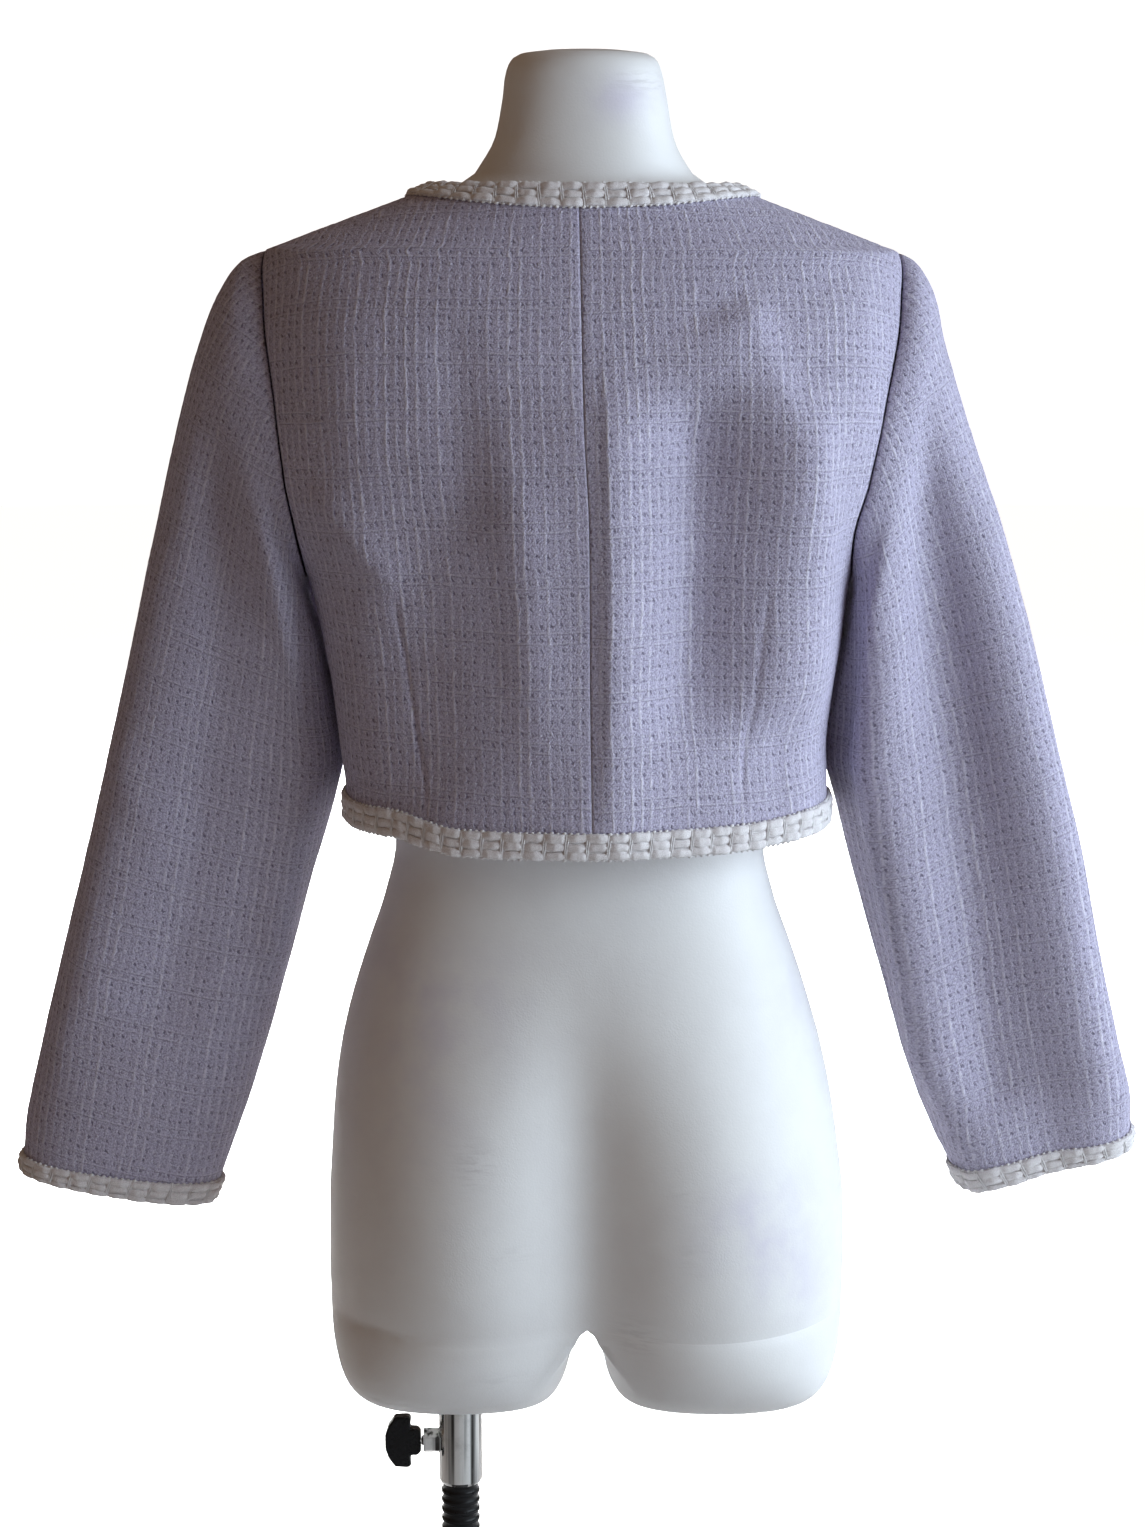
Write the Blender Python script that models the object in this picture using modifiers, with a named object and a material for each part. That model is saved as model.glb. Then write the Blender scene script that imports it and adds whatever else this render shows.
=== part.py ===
"""Cropped tweed jacket on a limbless torso form, which stands on a pole with a round base.

Metres, +Z up. The form faces -Y, its own left side is +X, and its middle plane is x = 0.
The origin is on the underside of the base, below the middle of the form.
"""
import math
from collections import namedtuple

import bmesh
import bpy
import numpy as np
from mathutils import Vector

# ---- cloth ----
WALL = 0.0016            # tweed with its backing
GAP = 0.0003             # between pieces at a seam
HEM_Z = 0.7795           # cut edge of the cloth at the centre back
HEM_FADE = 0.1200        # up the cloth until the hem's own rise has faded out
TILT = 0.0040            # the jacket hangs this much higher to +X, per metre
UNDERARM_Z = 0.9250
SHOULDER_Z = 1.1120      # shoulder seam at the top of the sleeve
NECK_Z = 1.1480          # cut edge of the cloth at the neck
FRONT_NECK_DROP = 0.0830   # from the neck point down to the centre front
FRONT_NECK_TURN = 25.0     # degrees from the centre front at half of that drop
FRONT_NECK_POWER = 2.5
FRONT_OPENING = 0.0010   # the two front edges meet edge to edge
ARMHOLE_TURN_BACK = 28.0   # degrees that the armhole reaches in from the side
ARMHOLE_TURN_FRONT = 29.0
ARMHOLE_SKEW = 0.15      # the armhole is deepest below its middle

# ---- braid ----
BRAID_WIDTH = 0.0148
BRAID_BLOCK = 0.0120     # from one cross thread to the next
BRAID_FULL = 0.0031      # height in the middle of a block
BRAID_TIED = 0.0021      # height under a cross thread
BRAID_SIDE = 0.62        # share of the height at its long edges
BRAID_OVER = 0.0012      # how far the braid reaches past the cut edge
BRAID_SEAT = 0.0005      # off the curved cloth, so that straight facets stay clear too

# ---- form and stand ----
NOTCH_TOP_Z = 0.4890
SEAT_DROP = 0.0022       # wall and gap between the form's shoulder and the cloth's outer face
POLE_X = 0.0774
POLE_RADIUS = 0.01175
POLE_TOP_Z = 0.4664
COLLAR_RADIUS = 0.01345
COLLAR_FOOT_Z = 0.3664
COLLAR_TOP_Z = 0.5464
COLLAR_CHAMFER = 0.0020
CLAMP_Z = 0.3920
NUT_LENGTH = 0.0090
NUT_ACROSS = 0.0140
SCREW_RADIUS = 0.0030
HUB_X = 0.1015           # inner end of the knob's hub
KNOB_THICKNESS = 0.0085
KNOB_BEVEL = 0.0012
POLE_RIM = 0.0012        # chamfer round the top of the pole
BASE_RIM = 0.0025        # chamfer round the base and its boss
BASE_RADIUS = 0.1750
BASE_EDGE = 0.0045
BASE_MIDDLE = 0.0078      # the plate's height beside the boss
BOSS_RADIUS = 0.0220
BOSS_TOP_Z = 0.0420
SOCKET_FLOOR_Z = 0.0060

OVERRUN = 0.0040         # how far a cutter passes through the face it opens

# ---- fineness ----
ROUND_SEGMENTS = 32
BASE_SEGMENTS = 48
CUTTER_SEGMENTS = 24
SCREW_SEGMENTS = 16
COLUMNS = 8              # quads across a quarter of the bodice
SLEEVE_AROUND = 24        # matches the armhole's steps, twice over
FORM_AROUND = 36
SHARP_EDGE = math.radians(50.0)
TURN_STEP = 0.5          # degrees, and metres, over which a surface's slope is measured
LEVEL_STEP = 0.0004
SLEEVE_TURN_STEP = 1.0
SLEEVE_DOWN_STEP = 0.0015

Section = namedtuple("Section", "z half_width back front square shift")
BODICE = [
    Section(0.7600, 0.1420, 0.1015, 0.1090, 0.035, 0.0000),
    Section(0.7900, 0.1415, 0.1005, 0.1110, 0.035, 0.0000),
    Section(0.8100, 0.1420, 0.0995, 0.1130, 0.035, 0.0010),
    Section(0.8300, 0.1430, 0.0990, 0.1150, 0.035, 0.0026),
    Section(0.8650, 0.1462, 0.0990, 0.1180, 0.035, 0.0034),
    Section(0.8900, 0.1503, 0.1003, 0.1190, 0.034, 0.0036),
    Section(0.9250, 0.1572, 0.1025, 0.1190, 0.032, 0.0052),
    Section(0.9550, 0.1685, 0.1045, 0.1160, 0.030, 0.0075),
    Section(0.9850, 0.1815, 0.1055, 0.1090, 0.028, 0.0060),
    Section(1.0200, 0.1885, 0.1050, 0.0980, 0.026, 0.0045),
    Section(1.0600, 0.1905, 0.1000, 0.0830, 0.022, 0.0034),
    Section(1.0900, 0.1870, 0.0915, 0.0710, 0.016, 0.0030),
    Section(1.1120, 0.1810, 0.0805, 0.0615, 0.010, 0.0030),
    Section(1.1162, 0.1710, 0.0784, 0.0598, 0.009, 0.0030),
    Section(1.1285, 0.1385, 0.0714, 0.0545, 0.006, 0.0028),
    Section(1.1435, 0.0985, 0.0627, 0.0479, 0.003, 0.0025),
    Section(1.1480, 0.0865, 0.0601, 0.0459, 0.002, 0.0024),
    Section(1.1545, 0.0692, 0.0563, 0.0430, 0.001, 0.0022),
]

# Where the centre back seam runs, and how far the hem rises from its height at the centre back
SeamRow = namedtuple("SeamRow", "z x")
BACK_SEAM = [
    SeamRow(0.7800, -0.0025),
    SeamRow(0.8670, -0.0013),
    SeamRow(0.9615, -0.0006),
    SeamRow(1.0186, 0.0022),
    SeamRow(1.0875, 0.0038),
    SeamRow(1.1480, 0.0050),
]
HemRow = namedtuple("HemRow", "angle rise")
HEM = [
    HemRow(-180.0, 0.0000), HemRow(-135.0, 0.0010), HemRow(-90.0, 0.0055), HemRow(-60.0, 0.0047),
    HemRow(-35.0, 0.0012), HemRow(0.0, 0.0000), HemRow(27.0, -0.0006), HemRow(38.0, 0.0030),
    HemRow(48.0, 0.0058), HemRow(90.0, 0.0058), HemRow(135.0, 0.0020), HemRow(180.0, 0.0000),
]

FormRow = namedtuple("FormRow", "z half_width back front square shift cleft crease tilt")
FORM_LOWER = [
    FormRow(0.4890, 0.1549, 0.1060, 0.0810, 0.020, 0.0000, 0.0360, 0.0160, 0.000),
    FormRow(0.5050, 0.1552, 0.1122, 0.0825, 0.022, 0.0000, 0.0380, 0.0070, 0.000),
    FormRow(0.5250, 0.1551, 0.1160, 0.0845, 0.024, 0.0000, 0.0380, 0.0020, 0.000),
    FormRow(0.5519, 0.1547, 0.1180, 0.0860, 0.024, 0.0001, 0.0360, 0.0000, 0.000),
    FormRow(0.5833, 0.1521, 0.1165, 0.0880, 0.024, 0.0010, 0.0320, 0.0000, 0.000),
    FormRow(0.6146, 0.1487, 0.1115, 0.0890, 0.022, 0.0022, 0.0260, 0.0000, 0.000),
    FormRow(0.6456, 0.1434, 0.1030, 0.0890, 0.020, 0.0034, 0.0170, 0.0000, 0.000),
    FormRow(0.6765, 0.1354, 0.0925, 0.0880, 0.018, 0.0042, 0.0080, 0.0000, 0.000),
    FormRow(0.7072, 0.1255, 0.0830, 0.0860, 0.016, 0.0044, 0.0020, 0.0000, 0.000),
    FormRow(0.7377, 0.1150, 0.0760, 0.0830, 0.014, 0.0046, 0.0000, 0.0000, 0.000),
    FormRow(0.7680, 0.1087, 0.0725, 0.0805, 0.012, 0.0044, 0.0000, 0.0000, 0.000),
    FormRow(0.8000, 0.1085, 0.0720, 0.0800, 0.012, 0.0034, 0.0000, 0.0000, 0.000),
    FormRow(0.8500, 0.1150, 0.0750, 0.0880, 0.014, 0.0032, 0.0000, 0.0000, 0.000),
    FormRow(0.9000, 0.1270, 0.0820, 0.1030, 0.016, 0.0032, 0.0000, 0.0000, 0.000),
    FormRow(0.9400, 0.1380, 0.0860, 0.1080, 0.016, 0.0034, 0.0000, 0.0000, 0.000),
    FormRow(0.9800, 0.1500, 0.0900, 0.1010, 0.016, 0.0034, 0.0000, 0.0000, 0.001),
    FormRow(1.0300, 0.1630, 0.0930, 0.0860, 0.014, 0.0032, 0.0000, 0.0000, 0.003),
    FormRow(1.0700, 0.1680, 0.0900, 0.0730, 0.012, 0.0030, 0.0000, 0.0000, TILT),
    FormRow(1.0950, 0.1670, 0.0840, 0.0630, 0.010, 0.0030, 0.0000, 0.0000, TILT),
    FormRow(1.1100, 0.1610, 0.0765, 0.0575, 0.008, 0.0030, 0.0000, 0.0000, TILT),
]
SEATED_LEVELS = (1.1200, 1.1280, 1.1360, 1.1430)   # where the cloth rests on the form
FORM_NECK = [
    FormRow(1.1532, 0.0648, 0.0520, 0.0410, 0.000, 0.0020, 0.0000, 0.0000, 0.002),
    FormRow(1.1605, 0.0590, 0.0495, 0.0410, 0.000, 0.0022, 0.0000, 0.0000, 0.000),
    FormRow(1.1756, 0.0510, 0.0470, 0.0430, 0.000, 0.0017, 0.0000, 0.0000, 0.000),
    FormRow(1.1960, 0.0470, 0.0455, 0.0440, 0.000, 0.0015, 0.0000, 0.0000, 0.000),
    FormRow(1.2110, 0.0445, 0.0440, 0.0430, 0.000, 0.0020, 0.0000, 0.0000, 0.000),
    FormRow(1.2185, 0.0415, 0.0410, 0.0400, 0.000, 0.0020, 0.0000, 0.0000, 0.000),
    FormRow(1.2222, 0.0360, 0.0355, 0.0345, 0.000, 0.0020, 0.0000, 0.0000, 0.000),
    FormRow(1.2240, 0.0230, 0.0230, 0.0230, 0.000, 0.0020, 0.0000, 0.0000, 0.000),
]
NECK_CROWN_Z = 1.2246
CLEFT_WIDTH = 0.0260
CLEFT_SPREAD = 0.0550    # how wide the slopes beside the cleft are
CLEFT_SHARE = 0.30       # of its depth in the narrow middle of it

# Each stub below the notch: its inner and outer edge, its depth, and how far it has rounded
StubRow = namedtuple("StubRow", "z inner outer back front rounded")
STUB = [
    StubRow(0.4860, 0.0040, 0.1548, 0.0965, 0.0802, 0.10),
    StubRow(0.4800, 0.0070, 0.1546, 0.0930, 0.0785, 0.25),
    StubRow(0.4690, 0.0092, 0.1538, 0.0880, 0.0750, 0.50),
    StubRow(0.4570, 0.0108, 0.1518, 0.0825, 0.0700, 0.75),
    StubRow(0.4450, 0.0124, 0.1484, 0.0745, 0.0630, 0.92),
    StubRow(0.4355, 0.0152, 0.1424, 0.0640, 0.0540, 1.00),
    StubRow(0.4290, 0.0215, 0.1318, 0.0490, 0.0430, 1.00),
    StubRow(0.4260, 0.0360, 0.1160, 0.0300, 0.0300, 1.00),
]
STUB_SQUARE = 0.040

# Upper half of the knob's outline: out from its inner end, and away from its axis
KnobCorner = namedtuple("KnobCorner", "out away")
KNOB = [
    KnobCorner(0.0000, 0.0060), KnobCorner(0.0020, 0.0085), KnobCorner(0.0065, 0.0085),
    KnobCorner(0.0060, 0.0145), KnobCorner(0.0075, 0.0165), KnobCorner(0.0160, 0.0160),
    KnobCorner(0.0200, 0.0102), KnobCorner(0.0220, 0.0041),
]
STUB_START = -40.0       # degrees round a stub that its outer side begins before the back
STUB_SWEEP = 260.0       # degrees round a stub that its outer side covers
NOTCH_STEPS = 6          # across the inner side of a stub

# Sleeve sections run from the armhole down: outer edge, inner edge, depth behind and before
SleeveRow = namedtuple("SleeveRow", "down outer_x outer_z inner_x inner_z back front forward")
SLEEVE = {
    "left": [
        SleeveRow(0.000, 0.1840, 1.1153, 0.1624, 0.9279, 0.0460, 0.0460, 0.000),
        SleeveRow(0.011, 0.1975, 1.1085, 0.1630, 0.9190, 0.0500, 0.0490, 0.001),
        SleeveRow(0.028, 0.2108, 1.0905, 0.1600, 0.9050, 0.0525, 0.0520, 0.003),
        SleeveRow(0.050, 0.2232, 1.0614, 0.1560, 0.8900, 0.0530, 0.0530, 0.006),
        SleeveRow(0.091, 0.2403, 1.0032, 0.1514, 0.8640, 0.0515, 0.0530, 0.012),
        SleeveRow(0.133, 0.2544, 0.9442, 0.1477, 0.8400, 0.0495, 0.0510, 0.018),
        SleeveRow(0.174, 0.2684, 0.8845, 0.1452, 0.8170, 0.0480, 0.0490, 0.022),
        SleeveRow(0.217, 0.2835, 0.8238, 0.1500, 0.7925, 0.0465, 0.0470, 0.025),
        SleeveRow(0.270, 0.2989, 0.7625, 0.1652, 0.7422, 0.0450, 0.0450, 0.027),
        SleeveRow(0.332, 0.3155, 0.7001, 0.1817, 0.6828, 0.0425, 0.0430, 0.029),
        SleeveRow(0.395, 0.3317, 0.6371, 0.1999, 0.6212, 0.0390, 0.0400, 0.031),
        SleeveRow(0.445, 0.3430, 0.5874, 0.2159, 0.5751, 0.0355, 0.0360, 0.032),
        SleeveRow(0.483, 0.3460, 0.5572, 0.2300, 0.5378, 0.0300, 0.0310, 0.033),
    ],
    "right": [
        SleeveRow(0.000, 0.1780, 1.1088, 0.1520, 0.9222, 0.0460, 0.0460, 0.000),
        SleeveRow(0.011, 0.1868, 1.1050, 0.1530, 0.9140, 0.0500, 0.0490, 0.001),
        SleeveRow(0.028, 0.1983, 1.0890, 0.1510, 0.9010, 0.0525, 0.0520, 0.003),
        SleeveRow(0.050, 0.2057, 1.0614, 0.1490, 0.8870, 0.0530, 0.0530, 0.006),
        SleeveRow(0.091, 0.2231, 1.0032, 0.1450, 0.8620, 0.0515, 0.0530, 0.012),
        SleeveRow(0.133, 0.2405, 0.9442, 0.1424, 0.8390, 0.0495, 0.0510, 0.018),
        SleeveRow(0.174, 0.2582, 0.8845, 0.1420, 0.8170, 0.0480, 0.0490, 0.022),
        SleeveRow(0.217, 0.2742, 0.8238, 0.1478, 0.7930, 0.0465, 0.0470, 0.025),
        SleeveRow(0.270, 0.2916, 0.7625, 0.1612, 0.7422, 0.0450, 0.0450, 0.027),
        SleeveRow(0.332, 0.3069, 0.7001, 0.1784, 0.6828, 0.0425, 0.0430, 0.029),
        SleeveRow(0.395, 0.3233, 0.6371, 0.1967, 0.6212, 0.0390, 0.0400, 0.031),
        SleeveRow(0.445, 0.3321, 0.6026, 0.2114, 0.5843, 0.0355, 0.0360, 0.032),
        SleeveRow(0.483, 0.3332, 0.5752, 0.2306, 0.5468, 0.0300, 0.0310, 0.033),
    ],
}
SLEEVE_SQUARE = 0.030
ARMHOLE_FADE = 0.060     # down the sleeve until the armhole's own curve has faded out
SIDES = {"left": 1.0, "right": -1.0}

# Folds on the bodice, from one point down to another as seen from behind or before. Each spreads
# further to one side of its line than to the other
Fold = namedtuple("Fold", "face x_start z_start x_end z_end to_plus to_minus height")
FOLDS = [
    Fold("back", -0.009, 1.025, -0.011, 0.775, 0.060, 0.030, 0.0100),
    Fold("back", -0.060, 1.030, -0.056, 0.850, 0.018, 0.028, -0.0095),
    Fold("back", -0.120, 1.030, -0.114, 0.850, 0.026, 0.020, 0.0085),
    Fold("back", 0.092, 0.985, 0.088, 0.810, 0.024, 0.026, -0.0045),
    Fold("back", 0.036, 0.980, 0.026, 0.830, 0.016, 0.018, 0.0022),
    Fold("front", 0.085, 0.960, 0.080, 0.810, 0.028, 0.028, -0.0040),
    Fold("front", -0.080, 0.970, -0.088, 0.800, 0.030, 0.030, -0.0045),
]
FOLD_END = 0.045         # over which a fold fades at each end

# Folds down the sleeves: degrees round from the outer edge over the back
SleeveFold = namedtuple("SleeveFold", "side around_start around_end start end width height")
SLEEVE_FOLDS = [
    SleeveFold("left", 64.0, 92.0, 0.04, 0.34, 20.0, -0.0090),
    SleeveFold("left", 100.0, 142.0, 0.02, 0.30, 18.0, 0.0070),
    SleeveFold("left", 30.0, 44.0, 0.10, 0.38, 18.0, 0.0035),
    SleeveFold("right", 68.0, 108.0, 0.03, 0.40, 18.0, -0.0100),
    SleeveFold("right", 112.0, 142.0, 0.02, 0.38, 18.0, 0.0080),
    SleeveFold("right", 32.0, 50.0, 0.08, 0.40, 18.0, 0.0045),
    SleeveFold("left", 262.0, 250.0, 0.06, 0.30, 24.0, -0.0060),
    SleeveFold("right", 265.0, 252.0, 0.05, 0.32, 24.0, -0.0055),
]
SLEEVE_FOLD_END = 0.050

# Levels of the bodice's rows at its side edge, closer together at the armhole's two ends
SIDE_LEVELS = (HEM_Z, 0.800, 0.826, 0.852, 0.878, 0.902)
ARMHOLE_STEPS = 12
SHOULDER_LEVELS = (1.1190, 1.1270, 1.1350, 1.1425, NECK_Z)
FORM_LEVELS = (0.505, 0.535, 0.570, 0.605, 0.640, 0.675, 0.710, 0.745, 0.785, 0.830, 0.875, 0.915,
               0.955, 0.995, 1.035, 1.065, 1.090, 1.103, 1.112, *SEATED_LEVELS,
               1.151, 1.162, 1.178, 1.198, 1.212, 1.2185, 1.2222, 1.2240)
SLEEVE_STEPS = (0.0, 0.006, 0.014, 0.024, 0.037, 0.053, 0.072, 0.094, 0.118, 0.144, 0.172, 0.202,
                0.234, 0.268, 0.302, 0.336, 0.370, 0.404, 0.436, 0.462, 0.483)


def smooth(rows, column, at):
    """One column of a table anywhere along its first column, on a curve that never overshoots."""
    x = np.array([row[0] for row in rows])
    y = np.array([getattr(row, column) for row in rows])
    step = np.diff(x)
    rise = np.diff(y) / step
    before, after = rise[:-1], rise[1:]
    weight_before = 2 * step[1:] + step[:-1]
    weight_after = step[1:] + 2 * step[:-1]
    same_way = before * after > 0
    safe_before = np.where(same_way, before, 1.0)
    safe_after = np.where(same_way, after, 1.0)
    middle = (weight_before + weight_after) / (weight_before / safe_before + weight_after / safe_after)
    slope = np.concatenate([rise[:1], np.where(same_way, middle, 0.0), rise[-1:]])
    at = np.clip(np.asarray(at, dtype=float), x[0], x[-1])
    i = np.clip(np.searchsorted(x, at) - 1, 0, len(step) - 1)
    t = (at - x[i]) / step[i]
    return (y[i] * (1 + 2 * t) * (1 - t) ** 2 + y[i + 1] * t * t * (3 - 2 * t)
            + step[i] * t * (1 - t) * (slope[i] * (1 - t) - slope[i + 1] * t))


def ease(t):
    t = np.clip(t, 0.0, 1.0)
    return t * t * (3 - 2 * t)


def unit(vectors):
    return vectors / np.linalg.norm(vectors, axis=-1, keepdims=True)


def oval(angle, half_width, back, front, square):
    """A level section: angle 0 is the centre back, 90 the +X side, 180 the centre front."""
    a = np.radians(angle)
    x = half_width * (np.sin(a) + square * np.sin(3 * a)) / (1 - square)
    depth = np.where(np.cos(a) >= 0, back, front)
    y = depth * (np.cos(a) - square * np.cos(3 * a)) / (1 - square)
    return x, y


# ---- bodice ----

def fold_height(x, z, is_back):
    """How far the folds lift the cloth at a point seen from behind or before."""
    total = np.zeros_like(x)
    for fold in FOLDS:
        run = np.array([fold.x_end - fold.x_start, fold.z_end - fold.z_start])
        length = np.linalg.norm(run)
        run = run / length
        along = (x - fold.x_start) * run[0] + (z - fold.z_start) * run[1]
        across = (x - fold.x_start) * run[1] - (z - fold.z_start) * run[0]
        ends = ease(along / FOLD_END + 0.5) * ease((length - along) / FOLD_END + 0.5)
        width = np.where(across >= 0, fold.to_minus, fold.to_plus)
        lift = fold.height * ends * np.exp(-(across / width) ** 2)
        total = total + np.where(is_back == (fold.face == "back"), lift, 0.0)
    return total


def bodice_plain(angle, z):
    x, y = oval(angle, *(smooth(BODICE, column, z) for column in ("half_width", "back", "front", "square")))
    x = x + smooth(BODICE, "shift", z)
    return np.stack([x, y, z + TILT * x], axis=-1)


def outward(surface, u, v, du, dv):
    """The unit normal of a surface by differences of its two numbers."""
    across = surface(u + du, v) - surface(u - du, v)
    up = surface(u, v + dv) - surface(u, v - dv)
    return unit(np.cross(up, across))


def bodice(angle, z, lift=0.0):
    """The cloth's outer face, its folds included, and points lifted off it."""
    angle, z = np.broadcast_arrays(np.asarray(angle, dtype=float), np.asarray(z, dtype=float))
    plain = bodice_plain(angle, z)
    normal = outward(bodice_plain, angle, z, TURN_STEP, LEVEL_STEP)
    is_back = np.cos(np.radians(angle)) >= 0
    fold = fold_height(plain[..., 0], plain[..., 2], is_back)
    return plain + normal * (fold + lift)[..., None]


def neck_drop(angle):
    """How far the neckline lies below the neck point: nothing behind, a round scoop before."""
    turn = np.minimum(np.abs(180.0 - np.abs(angle)), 90.0)
    def share(degrees):
        return 1.0 / (1.0 + (degrees / FRONT_NECK_TURN) ** FRONT_NECK_POWER)
    scoop = (share(turn) - share(90.0)) / (1.0 - share(90.0))
    return FRONT_NECK_DROP * scoop


def armhole_turn(level, turn):
    """Degrees that the armhole has cut in from the side at a level."""
    up = (level - UNDERARM_Z) / (SHOULDER_Z - UNDERARM_Z)
    inside = np.clip(up * (1 - up), 0.0, 0.25)
    return turn * 2 * np.sqrt(inside) * (1 + ARMHOLE_SKEW * (1 - 2 * up))


def hem_rise(angle, level):
    """How far the hem's own line still lifts the cloth at a level."""
    return smooth(HEM, "rise", angle) * (1 - ease((level - HEM_Z) / HEM_FADE))


def armhole_levels():
    steps = np.arange(ARMHOLE_STEPS + 1) / ARMHOLE_STEPS
    return UNDERARM_Z + (SHOULDER_Z - UNDERARM_Z) * (1 - np.cos(math.pi * steps)) / 2


def panel_grid(face, side):
    """Angles and heights of a quarter of the bodice, from its centre edge to its side edge."""
    level = np.concatenate([SIDE_LEVELS, armhole_levels(), SHOULDER_LEVELS])[:, None]
    share = np.linspace(0.0, 1.0, COLUMNS + 1)[None, :]
    half_width = smooth(BODICE, "half_width", level)
    depth = smooth(BODICE, face, level)
    turn = ARMHOLE_TURN_BACK if face == "back" else ARMHOLE_TURN_FRONT
    side_turn = 90.0 - armhole_turn(level, turn) - np.degrees(GAP / 2 / depth)
    if face == "back":
        square = smooth(BODICE, "square", level)
        seam_x = smooth(BACK_SEAM, "x", level) - smooth(BODICE, "shift", level)
        per_radian = half_width * (1 + 3 * square) / (1 - square)
        centre = np.degrees((SIDES[side] * seam_x + GAP / 2) / per_radian)
    else:
        centre = np.degrees(FRONT_OPENING / 2 / half_width) + 0 * level
    from_centre = centre + (side_turn - centre) * share
    angle = from_centre if face == "back" else 180.0 - from_centre
    climb = ease((level - UNDERARM_Z) / (NECK_Z - UNDERARM_Z))
    angle = SIDES[side] * angle
    return angle, level - neck_drop(angle) * climb + hem_rise(angle, level)


def shell(name, outer, inner, closed):
    """A wall between two like grids of points, open at both ends, or round a ring."""
    rows, columns = outer.shape[:2]
    points = np.concatenate([outer.reshape(-1, 3), inner.reshape(-1, 3)])
    under = rows * columns
    faces = []
    last = columns if closed else columns - 1
    for i in range(rows - 1):
        for j in range(last):
            a, b = i * columns + j, i * columns + (j + 1) % columns
            c, d = b + columns, a + columns
            faces.append((a, b, c))
            faces.append((a, c, d))
            faces.append((a + under, c + under, b + under))
            faces.append((a + under, d + under, c + under))
    for i in (0, rows - 1):
        for j in range(last):
            a, b = i * columns + j, i * columns + (j + 1) % columns
            faces.append((a, a + under, b + under, b))
    if not closed:
        for j in (0, columns - 1):
            for i in range(rows - 1):
                a = i * columns + j
                b = a + columns
                faces.append((a, b, b + under, a + under))
    return mesh_object(name, points, faces)


def mesh_object(name, points, faces):
    mesh = bpy.data.meshes.new(name)
    mesh.from_pydata([tuple(map(float, point)) for point in points], [], faces)
    form = bmesh.new()
    form.from_mesh(mesh)
    bmesh.ops.recalc_face_normals(form, faces=form.faces)
    form.to_mesh(mesh)
    form.free()
    mesh.shade_smooth()
    mesh.set_sharp_from_angle(angle=SHARP_EDGE)
    thing = bpy.data.objects.new(name, mesh)
    return thing


def bodice_panel(face, side):
    angle, z = panel_grid(face, side)
    return shell(face + "_" + side, bodice(angle, z), bodice(angle, z, -WALL), closed=False)


# ---- sleeves ----

def sleeve_fold(side, around, down):
    total = np.zeros(np.broadcast(around, down).shape)
    for fold in SLEEVE_FOLDS:
        if fold.side != side:
            continue
        t = (down - fold.start) / (fold.end - fold.start)
        middle = fold.around_start + (fold.around_end - fold.around_start) * t
        off = (around - middle + 180.0) % 360.0 - 180.0
        ends = (ease((down - fold.start) / SLEEVE_FOLD_END)
                * ease((fold.end + SLEEVE_FOLD_END - down) / SLEEVE_FOLD_END))
        total = total + fold.height * ends * np.exp(-(off / fold.width) ** 2)
    return total


def sleeve_section(side, around, down):
    """A sleeve's own section: 0 degrees is its outer edge, 90 its back, 180 its inner edge."""
    rows = SLEEVE[side]
    at = {column: smooth(rows, column, down) for column in SleeveRow._fields[1:]}
    a = np.radians(around)
    fold = sleeve_fold(side, around, down)
    out = (np.cos(a) - SLEEVE_SQUARE * np.cos(3 * a)) / (1 - SLEEVE_SQUARE)
    behind = (np.sin(a) + SLEEVE_SQUARE * np.sin(3 * a)) / (1 - SLEEVE_SQUARE)
    reach_x = (at["outer_x"] - at["inner_x"]) / 2
    reach_z = (at["outer_z"] - at["inner_z"]) / 2
    reach = np.hypot(reach_x, reach_z)
    widen = out + fold * np.cos(a) / reach
    x = (at["outer_x"] + at["inner_x"]) / 2 + reach_x * widen
    z = (at["outer_z"] + at["inner_z"]) / 2 + reach_z * widen
    depth = np.where(behind >= 0, at["back"], at["front"])
    y = depth * behind - at["forward"] + fold * np.sin(a)
    return np.stack([x, y, z], axis=-1)


def armhole(side, around):
    """The armhole's seam on the bodice, by degrees round the sleeve, turned over to +X."""
    a = np.radians(around)
    level = UNDERARM_Z + (SHOULDER_Z - UNDERARM_Z) * (1 + np.cos(a)) / 2
    is_back = np.sin(a) >= 0
    back = 90.0 - armhole_turn(level, ARMHOLE_TURN_BACK)
    front = 90.0 + armhole_turn(level, ARMHOLE_TURN_FRONT)
    angle = np.where(is_back, back, front)
    climb = ease((level - UNDERARM_Z) / (NECK_Z - UNDERARM_Z))
    points = bodice(SIDES[side] * angle, level - neck_drop(angle) * climb)
    return points * np.array([SIDES[side], 1.0, 1.0])


def sleeve_plain(side, around, down):
    around, down = np.broadcast_arrays(np.asarray(around, dtype=float), np.asarray(down, dtype=float))
    start = np.maximum(down, 0.0)
    points = sleeve_section(side, around, start)
    off_seam = armhole(side, around) + np.array([GAP * 2, 0.0, 0.0]) - sleeve_section(side, around, 0 * start)
    left = (1 - np.clip(start / ARMHOLE_FADE, 0.0, 1.0)) ** 2
    return points + off_seam * left[..., None]


def sleeve(side, around, down, lift=0.0):
    """A sleeve's outer face, and points lifted off it."""
    def surface(u, v):
        return sleeve_plain(side, u, np.clip(v, 0.0, SLEEVE[side][-1].down))
    around, down = np.broadcast_arrays(np.asarray(around, dtype=float), np.asarray(down, dtype=float))
    up = np.broadcast_to(lift, around.shape)[..., None]
    points = surface(around, down) + up * outward(surface, around, down, SLEEVE_TURN_STEP, SLEEVE_DOWN_STEP)
    return points * np.array([SIDES[side], 1.0, 1.0])


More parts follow.
